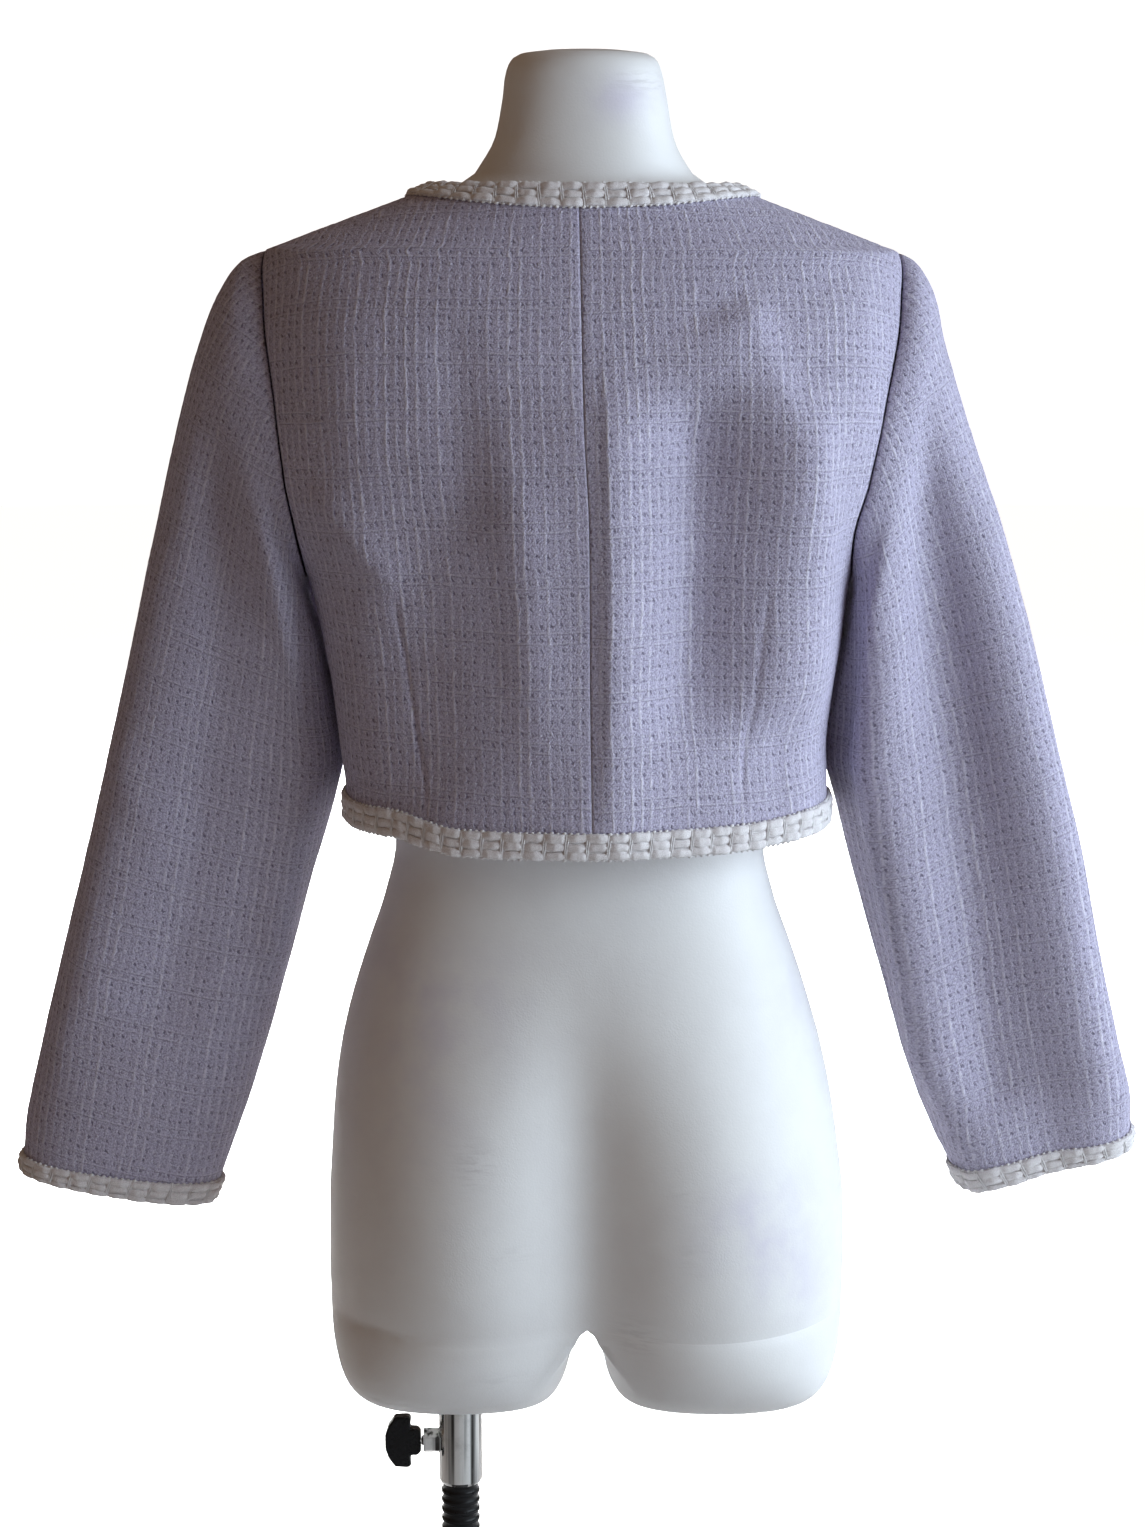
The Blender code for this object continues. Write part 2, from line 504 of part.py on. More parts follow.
def sleeve_tube(side):
    around = np.arange(SLEEVE_AROUND) * 360.0 / SLEEVE_AROUND
    down = np.array(SLEEVE_STEPS)[:, None]
    return shell("sleeve_" + side, sleeve(side, around, down), sleeve(side, around, down, -WALL), closed=True)


# ---- braid ----

def braid(name, place, length, closed=False):
    """A flat braid of puffed blocks along an edge.

    place gives points at a share of the length, a distance in from the edge and a lift.
    """
    blocks = max(2, round(length / BRAID_BLOCK))
    stations = 2 * blocks if closed else 2 * blocks + 1
    share = (np.arange(stations) / (2 * blocks))[:, None]
    height = np.where(np.arange(stations) % 2 == 1, BRAID_FULL, BRAID_TIED)[:, None]
    section = (
        (-BRAID_OVER, 0.0), (-BRAID_OVER, BRAID_SIDE), ((BRAID_WIDTH - 2 * BRAID_OVER) / 2, 1.0),
        (BRAID_WIDTH - BRAID_OVER, BRAID_SIDE), (BRAID_WIDTH - BRAID_OVER, 0.0),
    )
    inward = np.array([[corner[0] for corner in section]])
    lift = BRAID_SEAT + height * np.array([[corner[1] for corner in section]])
    points = place(share + 0 * inward, inward + 0 * share, lift)
    corners = len(section)
    flat = points.reshape(-1, 3)
    faces = []
    for i in range(stations if closed else stations - 1):
        here, there = i * corners, (i + 1) % stations * corners
        for j in range(corners):
            k = (j + 1) % corners
            faces.append((here + j, here + k, there + k, there + j))
    if not closed:
        faces.append(tuple(range(corners)))
        faces.append(tuple(range((stations - 1) * corners, stations * corners)))
    return mesh_object(name, flat, faces)


def even_shares(curve, ends, samples=400):
    """A lookup of numbers that are evenly spaced along a curve between its ends, and its length."""
    raw = np.linspace(ends[0], ends[1], samples)
    steps = np.linalg.norm(np.diff(curve(raw), axis=0), axis=1)
    run = np.concatenate([[0.0], np.cumsum(steps)])
    return lambda share: np.interp(share, run / run[-1], raw), run[-1]


def hem_braid():
    end = 180.0 - math.degrees(FRONT_OPENING / 2 / BODICE[1].half_width)
    at, length = even_shares(lambda a: bodice(a, HEM_Z + hem_rise(a, HEM_Z)), (end, -end))
    def place(share, inward, lift):
        angle = at(share)
        return bodice(angle, HEM_Z + hem_rise(angle, HEM_Z) + inward, lift)
    return braid("trim_hem", place, length)


def neck_place(angle, inward, lift):
    """A point on the bodice at a distance below the neckline, square to it."""
    z = NECK_Z - neck_drop(angle)
    turn, drop = TURN_STEP, LEVEL_STEP
    tilt = (neck_drop(angle - turn) - neck_drop(angle + turn)) / (2 * turn)
    steps = 4
    for _ in range(steps):
        by_angle = (bodice_plain(angle + turn, z) - bodice_plain(angle - turn, z)) / (2 * turn)
        by_z = (bodice_plain(angle, z + drop) - bodice_plain(angle, z - drop)) / (2 * drop)
        edge = by_angle + by_z * tilt[..., None]
        down = unit(np.cross(edge, np.cross(by_z, by_angle)))
        down = np.where(np.sum(down * by_z, axis=-1, keepdims=True) > 0, -down, down)
        aa = np.sum(by_angle * by_angle, axis=-1)
        zz = np.sum(by_z * by_z, axis=-1)
        az = np.sum(by_angle * by_z, axis=-1)
        da = np.sum(down * by_angle, axis=-1)
        dz = np.sum(down * by_z, axis=-1)
        spread = aa * zz - az * az
        angle = angle + inward / steps * (da * zz - dz * az) / spread
        z = z + inward / steps * (dz * aa - da * az) / spread
    return bodice(angle, z, lift)


def neck_braid():
    half_width = float(smooth(BODICE, "half_width", NECK_Z - FRONT_NECK_DROP))
    end = 180.0 - math.degrees(FRONT_OPENING / 2 / half_width)
    at, length = even_shares(lambda a: bodice(a, NECK_Z - neck_drop(a)), (end, -end))
    def place(share, inward, lift):
        angle = np.clip(at(share), -end, end)
        points = neck_place(angle, inward, lift)
        # the two ends stay square to the front edge
        at_end = (share == 0.0) | (share == 1.0)
        points[..., 0] = np.where(at_end, np.sign(angle) * FRONT_OPENING / 2, points[..., 0])
        return points
    return braid("trim_neck", place, length)


def front_braid(side):
    foot = HEM_Z + BRAID_WIDTH - BRAID_OVER + GAP
    top = NECK_Z - FRONT_NECK_DROP - BRAID_WIDTH + BRAID_OVER - GAP
    length = top - foot
    def place(share, inward, lift):
        x = FRONT_OPENING / 2 + BRAID_OVER + inward
        level = foot + share * length
        from_centre = np.degrees(x / smooth(BODICE, "half_width", level))
        z = level + share * (FRONT_NECK_DROP - neck_drop(180.0 - from_centre))
        return bodice(SIDES[side] * (180.0 - from_centre), z, lift)
    return braid("trim_front_" + side, place, length)


def cuff_braid(side):
    foot = SLEEVE[side][-1].down
    at, length = even_shares(lambda a: sleeve(side, a, foot), (0.0, 360.0))
    def place(share, inward, lift):
        return sleeve(side, at(share), foot - np.maximum(inward, 0.0), lift)
    return braid("trim_cuff_" + side, place, length, closed=True)


# ---- torso form ----

def form_rows():
    seated = []
    for z in SEATED_LEVELS:
        at = {column: float(smooth(BODICE, column, z + SEAT_DROP)) for column in Section._fields[1:]}
        seated.append(FormRow(z, at["half_width"], at["back"] - SEAT_DROP, at["front"] - SEAT_DROP,
                              at["square"], at["shift"], 0.0, 0.0, TILT))
    return FORM_LOWER + seated + FORM_NECK


def form_section(angle, z):
    rows = form_rows()
    at = {column: smooth(rows, column, z) for column in FormRow._fields[1:]}
    x, y = oval(angle, at["half_width"], at["back"], at["front"], at["square"])
    narrow, wide = np.exp(-(x / CLEFT_WIDTH) ** 2), np.exp(-(x / CLEFT_SPREAD) ** 2)
    cleft = at["cleft"] * (CLEFT_SHARE * narrow + (1 - CLEFT_SHARE) * wide)
    y = y - np.where(y >= 0, cleft, -at["crease"] * narrow)
    x = x + at["shift"]
    return np.stack([x, y, z + at["tilt"] * x], axis=-1)


def stub_ring(row, edge):
    """One ring of the +X stub: the torso's half ring, rounded towards an oval of its own."""
    a = np.linspace(0.0, 180.0, FORM_AROUND // 2 + 1)
    half = form_section(a, np.full_like(a, NOTCH_TOP_Z))[:, :2]
    under = np.linspace(half[-1, 1], half[0, 1], NOTCH_STEPS + 1)[1:-1]
    middle = np.stack([0 * under, under], axis=-1)
    start = np.concatenate([half, middle])
    start[:, 0] *= row.outer / edge
    outer_turn = STUB_START + STUB_SWEEP * a / 180.0
    rest = 360.0 - STUB_SWEEP
    inner_turn = outer_turn[-1] + rest * np.arange(1, NOTCH_STEPS) / NOTCH_STEPS
    turn = np.radians(np.concatenate([outer_turn, inner_turn]))
    centre, reach = (row.inner + row.outer) / 2, (row.outer - row.inner) / 2
    depth = np.where(np.cos(turn) >= 0, row.back, row.front)
    across = (np.sin(turn) + STUB_SQUARE * np.sin(3 * turn)) / (1 - STUB_SQUARE)
    along = (np.cos(turn) - STUB_SQUARE * np.cos(3 * turn)) / (1 - STUB_SQUARE)
    round_ring = np.stack([centre + reach * across, depth * along], axis=-1)
    ring = start * (1 - row.rounded) + round_ring * row.rounded
    ring[:, 0] = np.maximum(ring[:, 0], row.inner)
    return np.concatenate([ring, np.full((len(ring), 1), row.z)], axis=1)


def torso_form():
    """Torso, shoulders and neck as rings, with two short stubs below the notch."""
    angles = np.arange(FORM_AROUND) * 360.0 / FORM_AROUND
    points, faces = [], []

    def add(ring):
        start = len(points)
        points.extend(ring)
        return list(range(start, start + len(ring)))

    def join(low, high):
        for j in range(len(low)):
            k = (j + 1) % len(low)
            faces.append((low[j], low[k], high[k], high[j]))

    lowest = add(form_section(angles, np.full(FORM_AROUND, NOTCH_TOP_Z)))
    below = lowest
    for z in FORM_LEVELS:
        ring = add(form_section(angles, np.full(FORM_AROUND, z)))
        join(below, ring)
        below = ring
    crown = add([(FORM_NECK[-1].shift, 0.0, NECK_CROWN_Z)])[0]
    for j in range(FORM_AROUND):
        faces.append((below[j], below[(j + 1) % FORM_AROUND], crown))

    half = FORM_AROUND // 2
    front_y, back_y = points[lowest[half]][1], points[lowest[0]][1]
    across = np.linspace(front_y, back_y, NOTCH_STEPS + 1)[1:-1]
    middle = add([(0.0, y, NOTCH_TOP_Z) for y in across])
    edge = smooth(FORM_LOWER, "half_width", NOTCH_TOP_Z)
    plus = lowest[:half + 1] + middle
    minus = [lowest[0]] + lowest[:half - 1:-1] + middle
    for top, mirror in ((plus, 1.0), (minus, -1.0)):
        above = top
        for row in STUB:
            ring = stub_ring(row, float(edge))
            ring[:, 0] *= mirror
            here = add(ring)
            join(here, above)
            above = here
        faces.append(tuple(above))
    return mesh_object("dress_form", points, faces)


# ---- stand ----

def turned(name, profile, x=0.0, segments=ROUND_SEGMENTS):
    """A profile of radius and height pairs, from the top down its outer side, turned about Z."""
    mesh = bpy.data.meshes.new(name)
    edges = [(i, i + 1) for i in range(len(profile) - 1)]
    mesh.from_pydata([(radius, 0.0, z) for radius, z in profile], edges, [])
    thing = bpy.data.objects.new(name, mesh)
    thing.location.x = x
    screw = thing.modifiers.new("turn", "SCREW")
    screw.angle = math.tau
    screw.steps = screw.render_steps = segments
    screw.use_merge_vertices = True
    screw.merge_threshold = 0.00001
    screw.use_smooth_shade = True
    return thing


def pole():
    foot = SOCKET_FLOOR_Z + GAP
    profile = [
        (0.0, POLE_TOP_Z), (POLE_RADIUS - POLE_RIM, POLE_TOP_Z), (POLE_RADIUS, POLE_TOP_Z - POLE_RIM),
        (POLE_RADIUS, foot), (0.0, foot),
    ]
    return turned("pole", profile, POLE_X)


def base():
    bore = POLE_RADIUS + GAP
    profile = [
        (0.0, SOCKET_FLOOR_Z), (bore, SOCKET_FLOOR_Z), (bore, BOSS_TOP_Z),
        (BOSS_RADIUS - BASE_RIM, BOSS_TOP_Z), (BOSS_RADIUS, BOSS_TOP_Z - BASE_RIM),
        (BOSS_RADIUS, BASE_MIDDLE),
        (BASE_RADIUS - BASE_RIM, BASE_EDGE), (BASE_RADIUS, BASE_EDGE - BASE_RIM),
        (BASE_RADIUS, 0.0), (0.0, 0.0),
    ]
    return turned("base", profile, POLE_X, segments=BASE_SEGMENTS)


def rod(name, radius, start, end, segments):
    """A cylinder, or a prism of few sides, between two points."""
    mesh = bpy.data.meshes.new(name)
    form = bmesh.new()
    run = Vector(end) - Vector(start)
    bmesh.ops.create_cone(form, cap_ends=True, segments=segments, radius1=radius, radius2=radius,
                          depth=run.length)
    form.to_mesh(mesh)
    form.free()
    thing = bpy.data.objects.new(name, mesh)
    thing.location = (Vector(start) + Vector(end)) / 2
    thing.rotation_euler = run.to_track_quat("Z", "Y").to_euler()
    return thing


def cutter(name, radius, start, end):
    """A rod that only cuts: hidden, and kept apart from the parts."""
    thing = rod(name, radius, start, end, CUTTER_SEGMENTS)
    thing.hide_render = True
    thing.display_type = "WIRE"
    bpy.data.collections["cutters"].objects.link(thing)
    return thing


def cut(thing, tool):
    boolean = thing.modifiers.new("cut", "BOOLEAN")
    boolean.operation = "DIFFERENCE"
    boolean.object = tool


def screw_hole():
    """The screw's way through the collar's wall and the nut; both are cut by the same rod."""
    if "screw_hole" in bpy.data.objects:
        return bpy.data.objects["screw_hole"]
    start = (POLE_X + POLE_RADIUS - OVERRUN, 0.0, CLAMP_Z)
    return cutter("screw_hole", SCREW_RADIUS + GAP, start, (HUB_X + OVERRUN, 0.0, CLAMP_Z))


def collar():
    inside = POLE_RADIUS + GAP
    profile = [
        (inside, COLLAR_TOP_Z), (COLLAR_RADIUS, COLLAR_TOP_Z),
        (COLLAR_RADIUS, COLLAR_FOOT_Z + COLLAR_CHAMFER), (COLLAR_RADIUS - COLLAR_CHAMFER / 2, COLLAR_FOOT_Z),
        (inside, COLLAR_FOOT_Z), (inside, COLLAR_TOP_Z),
    ]
    thing = turned("collar", profile, POLE_X)
    cut(thing, screw_hole())
    return thing


def clamp_nut():
    """A hexagonal boss on the collar; its inner face is hollowed to the collar's round."""
    start = POLE_X + math.sqrt(COLLAR_RADIUS ** 2 - (NUT_ACROSS / 2) ** 2)
    end = POLE_X + COLLAR_RADIUS + NUT_LENGTH
    corner = NUT_ACROSS / math.sqrt(3)
    thing = rod("clamp_nut", corner, (start, 0.0, CLAMP_Z), (end, 0.0, CLAMP_Z), segments=6)
    foot, top = CLAMP_Z - NUT_ACROSS, CLAMP_Z + NUT_ACROSS
    cut(thing, cutter("nut_seat", COLLAR_RADIUS + GAP, (POLE_X, 0.0, foot), (POLE_X, 0.0, top)))
    cut(thing, screw_hole())
    return thing


def clamp_screw():
    start = POLE_X + POLE_RADIUS + GAP
    end = HUB_X - GAP
    return rod("clamp_screw", SCREW_RADIUS, (start, 0.0, CLAMP_Z), (end, 0.0, CLAMP_Z), SCREW_SEGMENTS)


def knob():
    """A hub and two swept wings, as one outline across X and Z, thickened along Y."""
    upper = [(HUB_X + corner.out, corner.away) for corner in KNOB]
    outline = upper + [(x, -z) for x, z in reversed(upper)]
    half = KNOB_THICKNESS / 2
    points = [(x, y, CLAMP_Z + z) for y in (-half, half) for x, z in outline]
    count = len(outline)
    faces = [tuple(range(count)), tuple(range(count, 2 * count))]
    faces += [(i, (i + 1) % count, (i + 1) % count + count, i + count) for i in range(count)]
    thing = mesh_object("knob", points, faces)
    bevel = thing.modifiers.new("soft_edges", "BEVEL")
    bevel.width = KNOB_BEVEL
    bevel.segments = 2
    bevel.limit_method = "ANGLE"
    bevel.angle_limit = SHARP_EDGE
    return thing


# ---- colours and assembly ----

Finish = namedtuple("Finish", "colour roughness metallic")
TWEED = Finish((0.46, 0.41, 0.62), 0.92, 0.0)
BRAID = Finish((0.78, 0.75, 0.76), 0.95, 0.0)
FORM_PAINT = Finish((0.80, 0.80, 0.80), 0.60, 0.0)
CHROME = Finish((0.62, 0.62, 0.63), 0.12, 1.0)
BLACK_STEEL = Finish((0.02, 0.02, 0.022), 0.35, 0.0)
BLACK_PLASTIC = Finish((0.012, 0.012, 0.013), 0.35, 0.0)
BASE_STEEL = Finish((0.05, 0.05, 0.052), 0.45, 0.0)


def finish(thing, look):
    material = bpy.data.materials.new(thing.name)
    material.use_nodes = True
    shader = material.node_tree.nodes["Principled BSDF"]
    shader.inputs["Base Color"].default_value = (*look.colour, 1.0)
    shader.inputs["Roughness"].default_value = look.roughness
    shader.inputs["Metallic"].default_value = look.metallic
    thing.data.materials.clear()
    thing.data.materials.append(material)


def build():
    for thing in list(bpy.data.objects):
        bpy.data.objects.remove(thing)
    parts = bpy.data.collections.new("cropped_tweed_jacket")
    cutters = bpy.data.collections.new("cutters")
    bpy.context.scene.collection.children.link(parts)
    bpy.context.scene.collection.children.link(cutters)

    def place(thing, look):
        finish(thing, look)
        parts.objects.link(thing)

    for side in SIDES:
        place(bodice_panel("back", side), TWEED)
        place(bodice_panel("front", side), TWEED)
        place(sleeve_tube(side), TWEED)
        place(cuff_braid(side), BRAID)
        place(front_braid(side), BRAID)
    place(neck_braid(), BRAID)
    place(hem_braid(), BRAID)

    form = torso_form()
    bore_foot = (POLE_X, 0.0, STUB[-1].z - OVERRUN)
    cut(form, cutter("collar_bore", COLLAR_RADIUS + GAP, bore_foot, (POLE_X, 0.0, COLLAR_TOP_Z + GAP)))
    place(form, FORM_PAINT)
    place(collar(), CHROME)
    place(clamp_nut(), CHROME)
    place(clamp_screw(), CHROME)
    place(knob(), BLACK_PLASTIC)
    place(pole(), BLACK_STEEL)
    place(base(), BASE_STEEL)


build()
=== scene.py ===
"""Looks of the cropped tweed jacket, its torso form and its stand.

Metres, +Z up. The jacket's back faces +Y and the camera; the form's own left side is +X.
"""
import math
from collections import namedtuple

import bpy
import numpy as np
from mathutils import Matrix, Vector


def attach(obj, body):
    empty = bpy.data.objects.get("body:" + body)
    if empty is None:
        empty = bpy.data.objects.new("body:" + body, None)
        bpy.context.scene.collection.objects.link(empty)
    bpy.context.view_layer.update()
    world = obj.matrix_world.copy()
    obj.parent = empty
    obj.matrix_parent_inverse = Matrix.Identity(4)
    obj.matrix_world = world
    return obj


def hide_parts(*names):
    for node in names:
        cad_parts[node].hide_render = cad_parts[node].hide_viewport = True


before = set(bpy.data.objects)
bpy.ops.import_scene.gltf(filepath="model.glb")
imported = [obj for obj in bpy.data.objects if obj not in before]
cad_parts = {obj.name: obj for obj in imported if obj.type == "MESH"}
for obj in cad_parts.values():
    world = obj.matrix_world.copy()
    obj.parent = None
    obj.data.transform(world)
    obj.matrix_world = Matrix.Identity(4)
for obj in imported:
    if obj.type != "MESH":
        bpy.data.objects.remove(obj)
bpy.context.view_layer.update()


def tables(columns, text):
    """Tables by name: each has its name first, then its rows' numbers in reading order."""
    row_of = namedtuple("Row", columns)
    size = len(row_of._fields)
    found = {}
    for word in text.split():
        if word.isalpha():
            found[word] = numbers = []
        else:
            numbers.append(float(word))
    return {name: [row_of(*numbers[i:i + size]) for i in range(0, len(numbers), size)]
            for name, numbers in found.items()}


def into_scene(name, data):
    thing = bpy.data.objects.new(name, data)
    bpy.context.scene.collection.objects.link(thing)
    return thing


# ---- cloth ----
SIDES = {"left": 1.0, "right": -1.0}
WALL = 0.0016            # tweed with its backing
GAP = 0.0003             # between pieces at a seam
HEM_Z = 0.7795           # cut edge of the cloth at the centre back
HEM_FADE = 0.1200        # up the cloth until the hem's own rise has faded out
TILT = 0.0040            # the jacket hangs this much higher to +X, per metre
UNDERARM_Z = 0.9250
SHOULDER_Z = 1.1120      # shoulder seam at the top of the sleeve
NECK_Z = 1.1480          # cut edge of the cloth at the neck
FRONT_NECK_DROP = 0.0830   # from the neck point down to the centre front
FRONT_NECK_TURN = 25.0     # degrees from the centre front at half of that drop
FRONT_NECK_POWER = 2.5
FRONT_OPENING = 0.0010   # the two front edges meet edge to edge
ARMHOLE_TURN = {"back": 28.0, "front": 29.0}   # degrees that it reaches in from the side
ARMHOLE_SKEW = 0.15      # the armhole is deepest below its middle

# ---- braid ----
BRAID_WIDTH = 0.0148
BRAID_BLOCK = 0.0120     # from one cross thread to the next
BRAID_FULL = 0.0031      # height in the middle of a block
BRAID_OVER = 0.0012      # how far the braid reaches past the cut edge
BRAID_SEAT = 0.0005      # off the curved cloth, so that straight facets stay clear too

# ---- form and rod ----
NOTCH_TOP_Z = 0.4890
SEAT_DROP = 0.0022       # wall and gap between the form's shoulder and the cloth's outer face
POLE_X = 0.0774
POLE_RADIUS = 0.01175
POLE_TOP_Z = 0.4664
POLE_RIM = 0.0012        # chamfer round the top of the pole
COLLAR_RADIUS = 0.01345
COLLAR_TOP_Z = 0.5464
BOSS_TOP_Z = 0.0420
SOCKET_FLOOR_Z = 0.0060

TURN_STEP = 0.5          # degrees, and metres, over which a surface's slope is measured
LEVEL_STEP = 0.0004
SLEEVE_TURN_STEP = 1.0
SLEEVE_DOWN_STEP = 0.0015

BODICE = tables("z half_width back front square shift", """bodice
 .7600 .1420 .1015 .1090 .035 .0000
 .7900 .1415 .1005 .1110 .035 .0000
 .8100 .1420 .0995 .1130 .035 .0010
 .8300 .1430 .0990 .1150 .035 .0026
 .8650 .1462 .0990 .1180 .035 .0034
 .8900 .1503 .1003 .1190 .034 .0036
 .9250 .1572 .1025 .1190 .032 .0052
 .9550 .1685 .1045 .1160 .030 .0075
 .9850 .1815 .1055 .1090 .028 .0060
1.0200 .1885 .1050 .0980 .026 .0045
1.0600 .1905 .1000 .0830 .022 .0034
1.0900 .1870 .0915 .0710 .016 .0030
1.1120 .1810 .0805 .0615 .010 .0030
1.1162 .1710 .0784 .0598 .009 .0030
1.1285 .1385 .0714 .0545 .006 .0028
1.1435 .0985 .0627 .0479 .003 .0025
1.1480 .0865 .0601 .0459 .002 .0024
1.1545 .0692 .0563 .0430 .001 .0022
""")["bodice"]

# Where the centre back seam runs, and how far the hem rises from its height at the centre back
BACK_SEAM = tables("z x", """seam
   .78 -.0025     .867 -.0013    .9615 -.0006
1.0186  .0022   1.0875  .0038    1.148   .005
""")["seam"]
HEM = tables("angle rise", """hem
-180      0   -135   .001    -90  .0055    -60  .0047
 -35  .0012      0      0     27 -.0006     38   .003
  48  .0058     90  .0058    135   .002    180      0
""")["hem"]

# The form, whose tilt is a share of the jacket's; between its two tables the cloth rests on it
FORM_ROWS = tables("z half_width back front square shift cleft crease tilt", """lower
 .4890 .1549 .1060 .0810 .020 .0000 .036 .016  .00
 .5050 .1552 .1122 .0825 .022 .0000 .038 .007  .00
 .5250 .1551 .1160 .0845 .024 .0000 .038 .002  .00
 .5519 .1547 .1180 .0860 .024 .0001 .036 .000  .00
 .5833 .1521 .1165 .0880 .024 .0010 .032 .000  .00
 .6146 .1487 .1115 .0890 .022 .0022 .026 .000  .00
 .6456 .1434 .1030 .0890 .020 .0034 .017 .000  .00
 .6765 .1354 .0925 .0880 .022 .0042 .008 .000  .00
 .7072 .1255 .0830 .0860 .028 .0044 .002 .000  .00
 .7377 .1150 .0760 .0830 .032 .0046 .000 .000  .00
 .7680 .1087 .0725 .0805 .032 .0044 .000 .000  .00
 .8000 .1085 .0720 .0800 .026 .0034 .000 .000  .00
 .8500 .1150 .0750 .0880 .014 .0032 .000 .000  .00
 .9000 .1270 .0820 .1030 .016 .0032 .000 .000  .00
 .9400 .1380 .0860 .1080 .016 .0034 .000 .000  .00
 .9800 .1500 .0900 .1010 .016 .0034 .000 .000  .25
1.0300 .1630 .0930 .0860 .014 .0032 .000 .000  .75
1.0700 .1680 .0900 .0730 .012 .0030 .000 .000 1.00
1.0950 .1670 .0840 .0630 .010 .0030 .000 .000 1.00
1.1100 .1610 .0765 .0575 .008 .0030 .000 .000 1.00
neck
1.1532 .0648 .0520 .0410 .000 .0020 0 0 .5
1.1605 .0590 .0495 .0410 .014 .0022 0 0 .0
1.1756 .0510 .0470 .0430 .030 .0017 0 0 .0
1.1960 .0470 .0455 .0440 .030 .0015 0 0 .0
1.2110 .0445 .0440 .0430 .024 .0020 0 0 .0
1.2185 .0415 .0410 .0400 .012 .0020 0 0 .0
1.2222 .0360 .0355 .0345 .000 .0020 0 0 .0
1.2240 .0230 .0230 .0230 .000 .0020 0 0 .0
""")
SEATED_LEVELS = (1.1200, 1.1280, 1.1360, 1.1430)
NECK_CROWN_Z = 1.2246
CLEFT_WIDTH = 0.0260
CLEFT_SPREAD = 0.0550    # how wide the slopes beside the cleft are
CLEFT_SHARE = 0.30       # of its depth in the narrow middle of it

# Each stub below the notch: its inner and outer edge, its depth, and how far it has rounded
STUB = tables("z inner outer back front rounded", """stub
.4890 .0000 .1549 .0980 .0810  .00
.4860 .0040 .1548 .0965 .0802  .10
.4800 .0070 .1546 .0930 .0785  .25
.4690 .0092 .1538 .0880 .0750  .50
.4570 .0108 .1518 .0825 .0700  .75
.4450 .0124 .1484 .0745 .0630  .92
.4355 .0152 .1424 .0640 .0540 1.00
.4290 .0215 .1318 .0490 .0430 1.00
.4260 .0360 .1160 .0300 .0300 1.00
""")["stub"]
STUB_SQUARE = 0.040
STUB_START = -40.0       # degrees round a stub that its outer side begins before the back
STUB_SWEEP = 260.0       # degrees round a stub that its outer side covers

# Sleeve sections run from the armhole down: outer edge, inner edge, depth behind and before
SLEEVE = tables("down outer_x outer_z inner_x inner_z back front forward", """left
.000 .1840 1.1153 .1624 .9279 .0460 .046 .000
.011 .1975 1.1085 .1630 .9190 .0500 .049 .001
.028 .2108 1.0905 .1600 .9050 .0525 .052 .003
.050 .2232 1.0614 .1560 .8900 .0530 .053 .006
.091 .2403 1.0032 .1514 .8640 .0515 .053 .012
.133 .2544  .9442 .1477 .8400 .0495 .051 .018
.174 .2684  .8845 .1452 .8170 .0480 .049 .022
.217 .2835  .8238 .1500 .7925 .0465 .047 .025
.270 .2989  .7625 .1652 .7422 .0450 .045 .027
.332 .3155  .7001 .1817 .6828 .0425 .043 .029
.395 .3317  .6371 .1999 .6212 .0390 .040 .031
.445 .3430  .5874 .2159 .5751 .0355 .036 .032
.483 .3460  .5572 .2300 .5378 .0300 .031 .033
right
.000 .1780 1.1088 .1520 .9222 .0460 .046 .000
.011 .1868 1.1050 .1530 .9140 .0500 .049 .001
.028 .1983 1.0890 .1510 .9010 .0525 .052 .003
.050 .2057 1.0614 .1490 .8870 .0530 .053 .006
.091 .2231 1.0032 .1450 .8620 .0515 .053 .012
.133 .2405  .9442 .1424 .8390 .0495 .051 .018
.174 .2582  .8845 .1420 .8170 .0480 .049 .022
.217 .2742  .8238 .1478 .7930 .0465 .047 .025
.270 .2916  .7625 .1612 .7422 .0450 .045 .027
.332 .3069  .7001 .1784 .6828 .0425 .043 .029
.395 .3233  .6371 .1967 .6212 .0390 .040 .031
.445 .3321  .6026 .2114 .5843 .0355 .036 .032
.483 .3332  .5752 .2306 .5468 .0300 .031 .033
""")
SLEEVE_SQUARE = 0.030
ARMHOLE_FADE = 0.060     # down the sleeve until the armhole's own curve has faded out

# Folds on the bodice, from one point down to another as seen from behind or before. Each spreads
# further to one side of its line than to the other
FOLDS = tables("x_start z_start x_end z_end to_plus to_minus height", """back
-.009 1.025 -.011 .775 .060 .030  .0100
-.060 1.030 -.056 .850 .018 .028 -.0095
-.120 1.030 -.114 .850 .026 .020  .0085
 .092  .985  .088 .810 .024 .026 -.0045
 .036  .980  .026 .830 .016 .018  .0022
front
 .085 .96  .080 .81 .028 .028 -.0040
-.080 .97 -.088 .80 .030 .030 -.0045
""")
FOLD_END = 0.045         # over which a fold fades at each end

# Folds down the sleeves: degrees round from the outer edge over the back
SLEEVE_FOLDS = tables("around_start around_end start end width height", """left
 64  92 .04 .34 20 -.0090
100 142 .02 .30 18  .0070
 30  44 .10 .38 18  .0035
262 250 .06 .30 24 -.0060
right
 68 108 .03 .40 18 -.0100
112 142 .02 .38 18  .0080
 32  50 .08 .40 18  .0045
265 252 .05 .32 24 -.0055
""")
SLEEVE_FOLD_END = 0.050

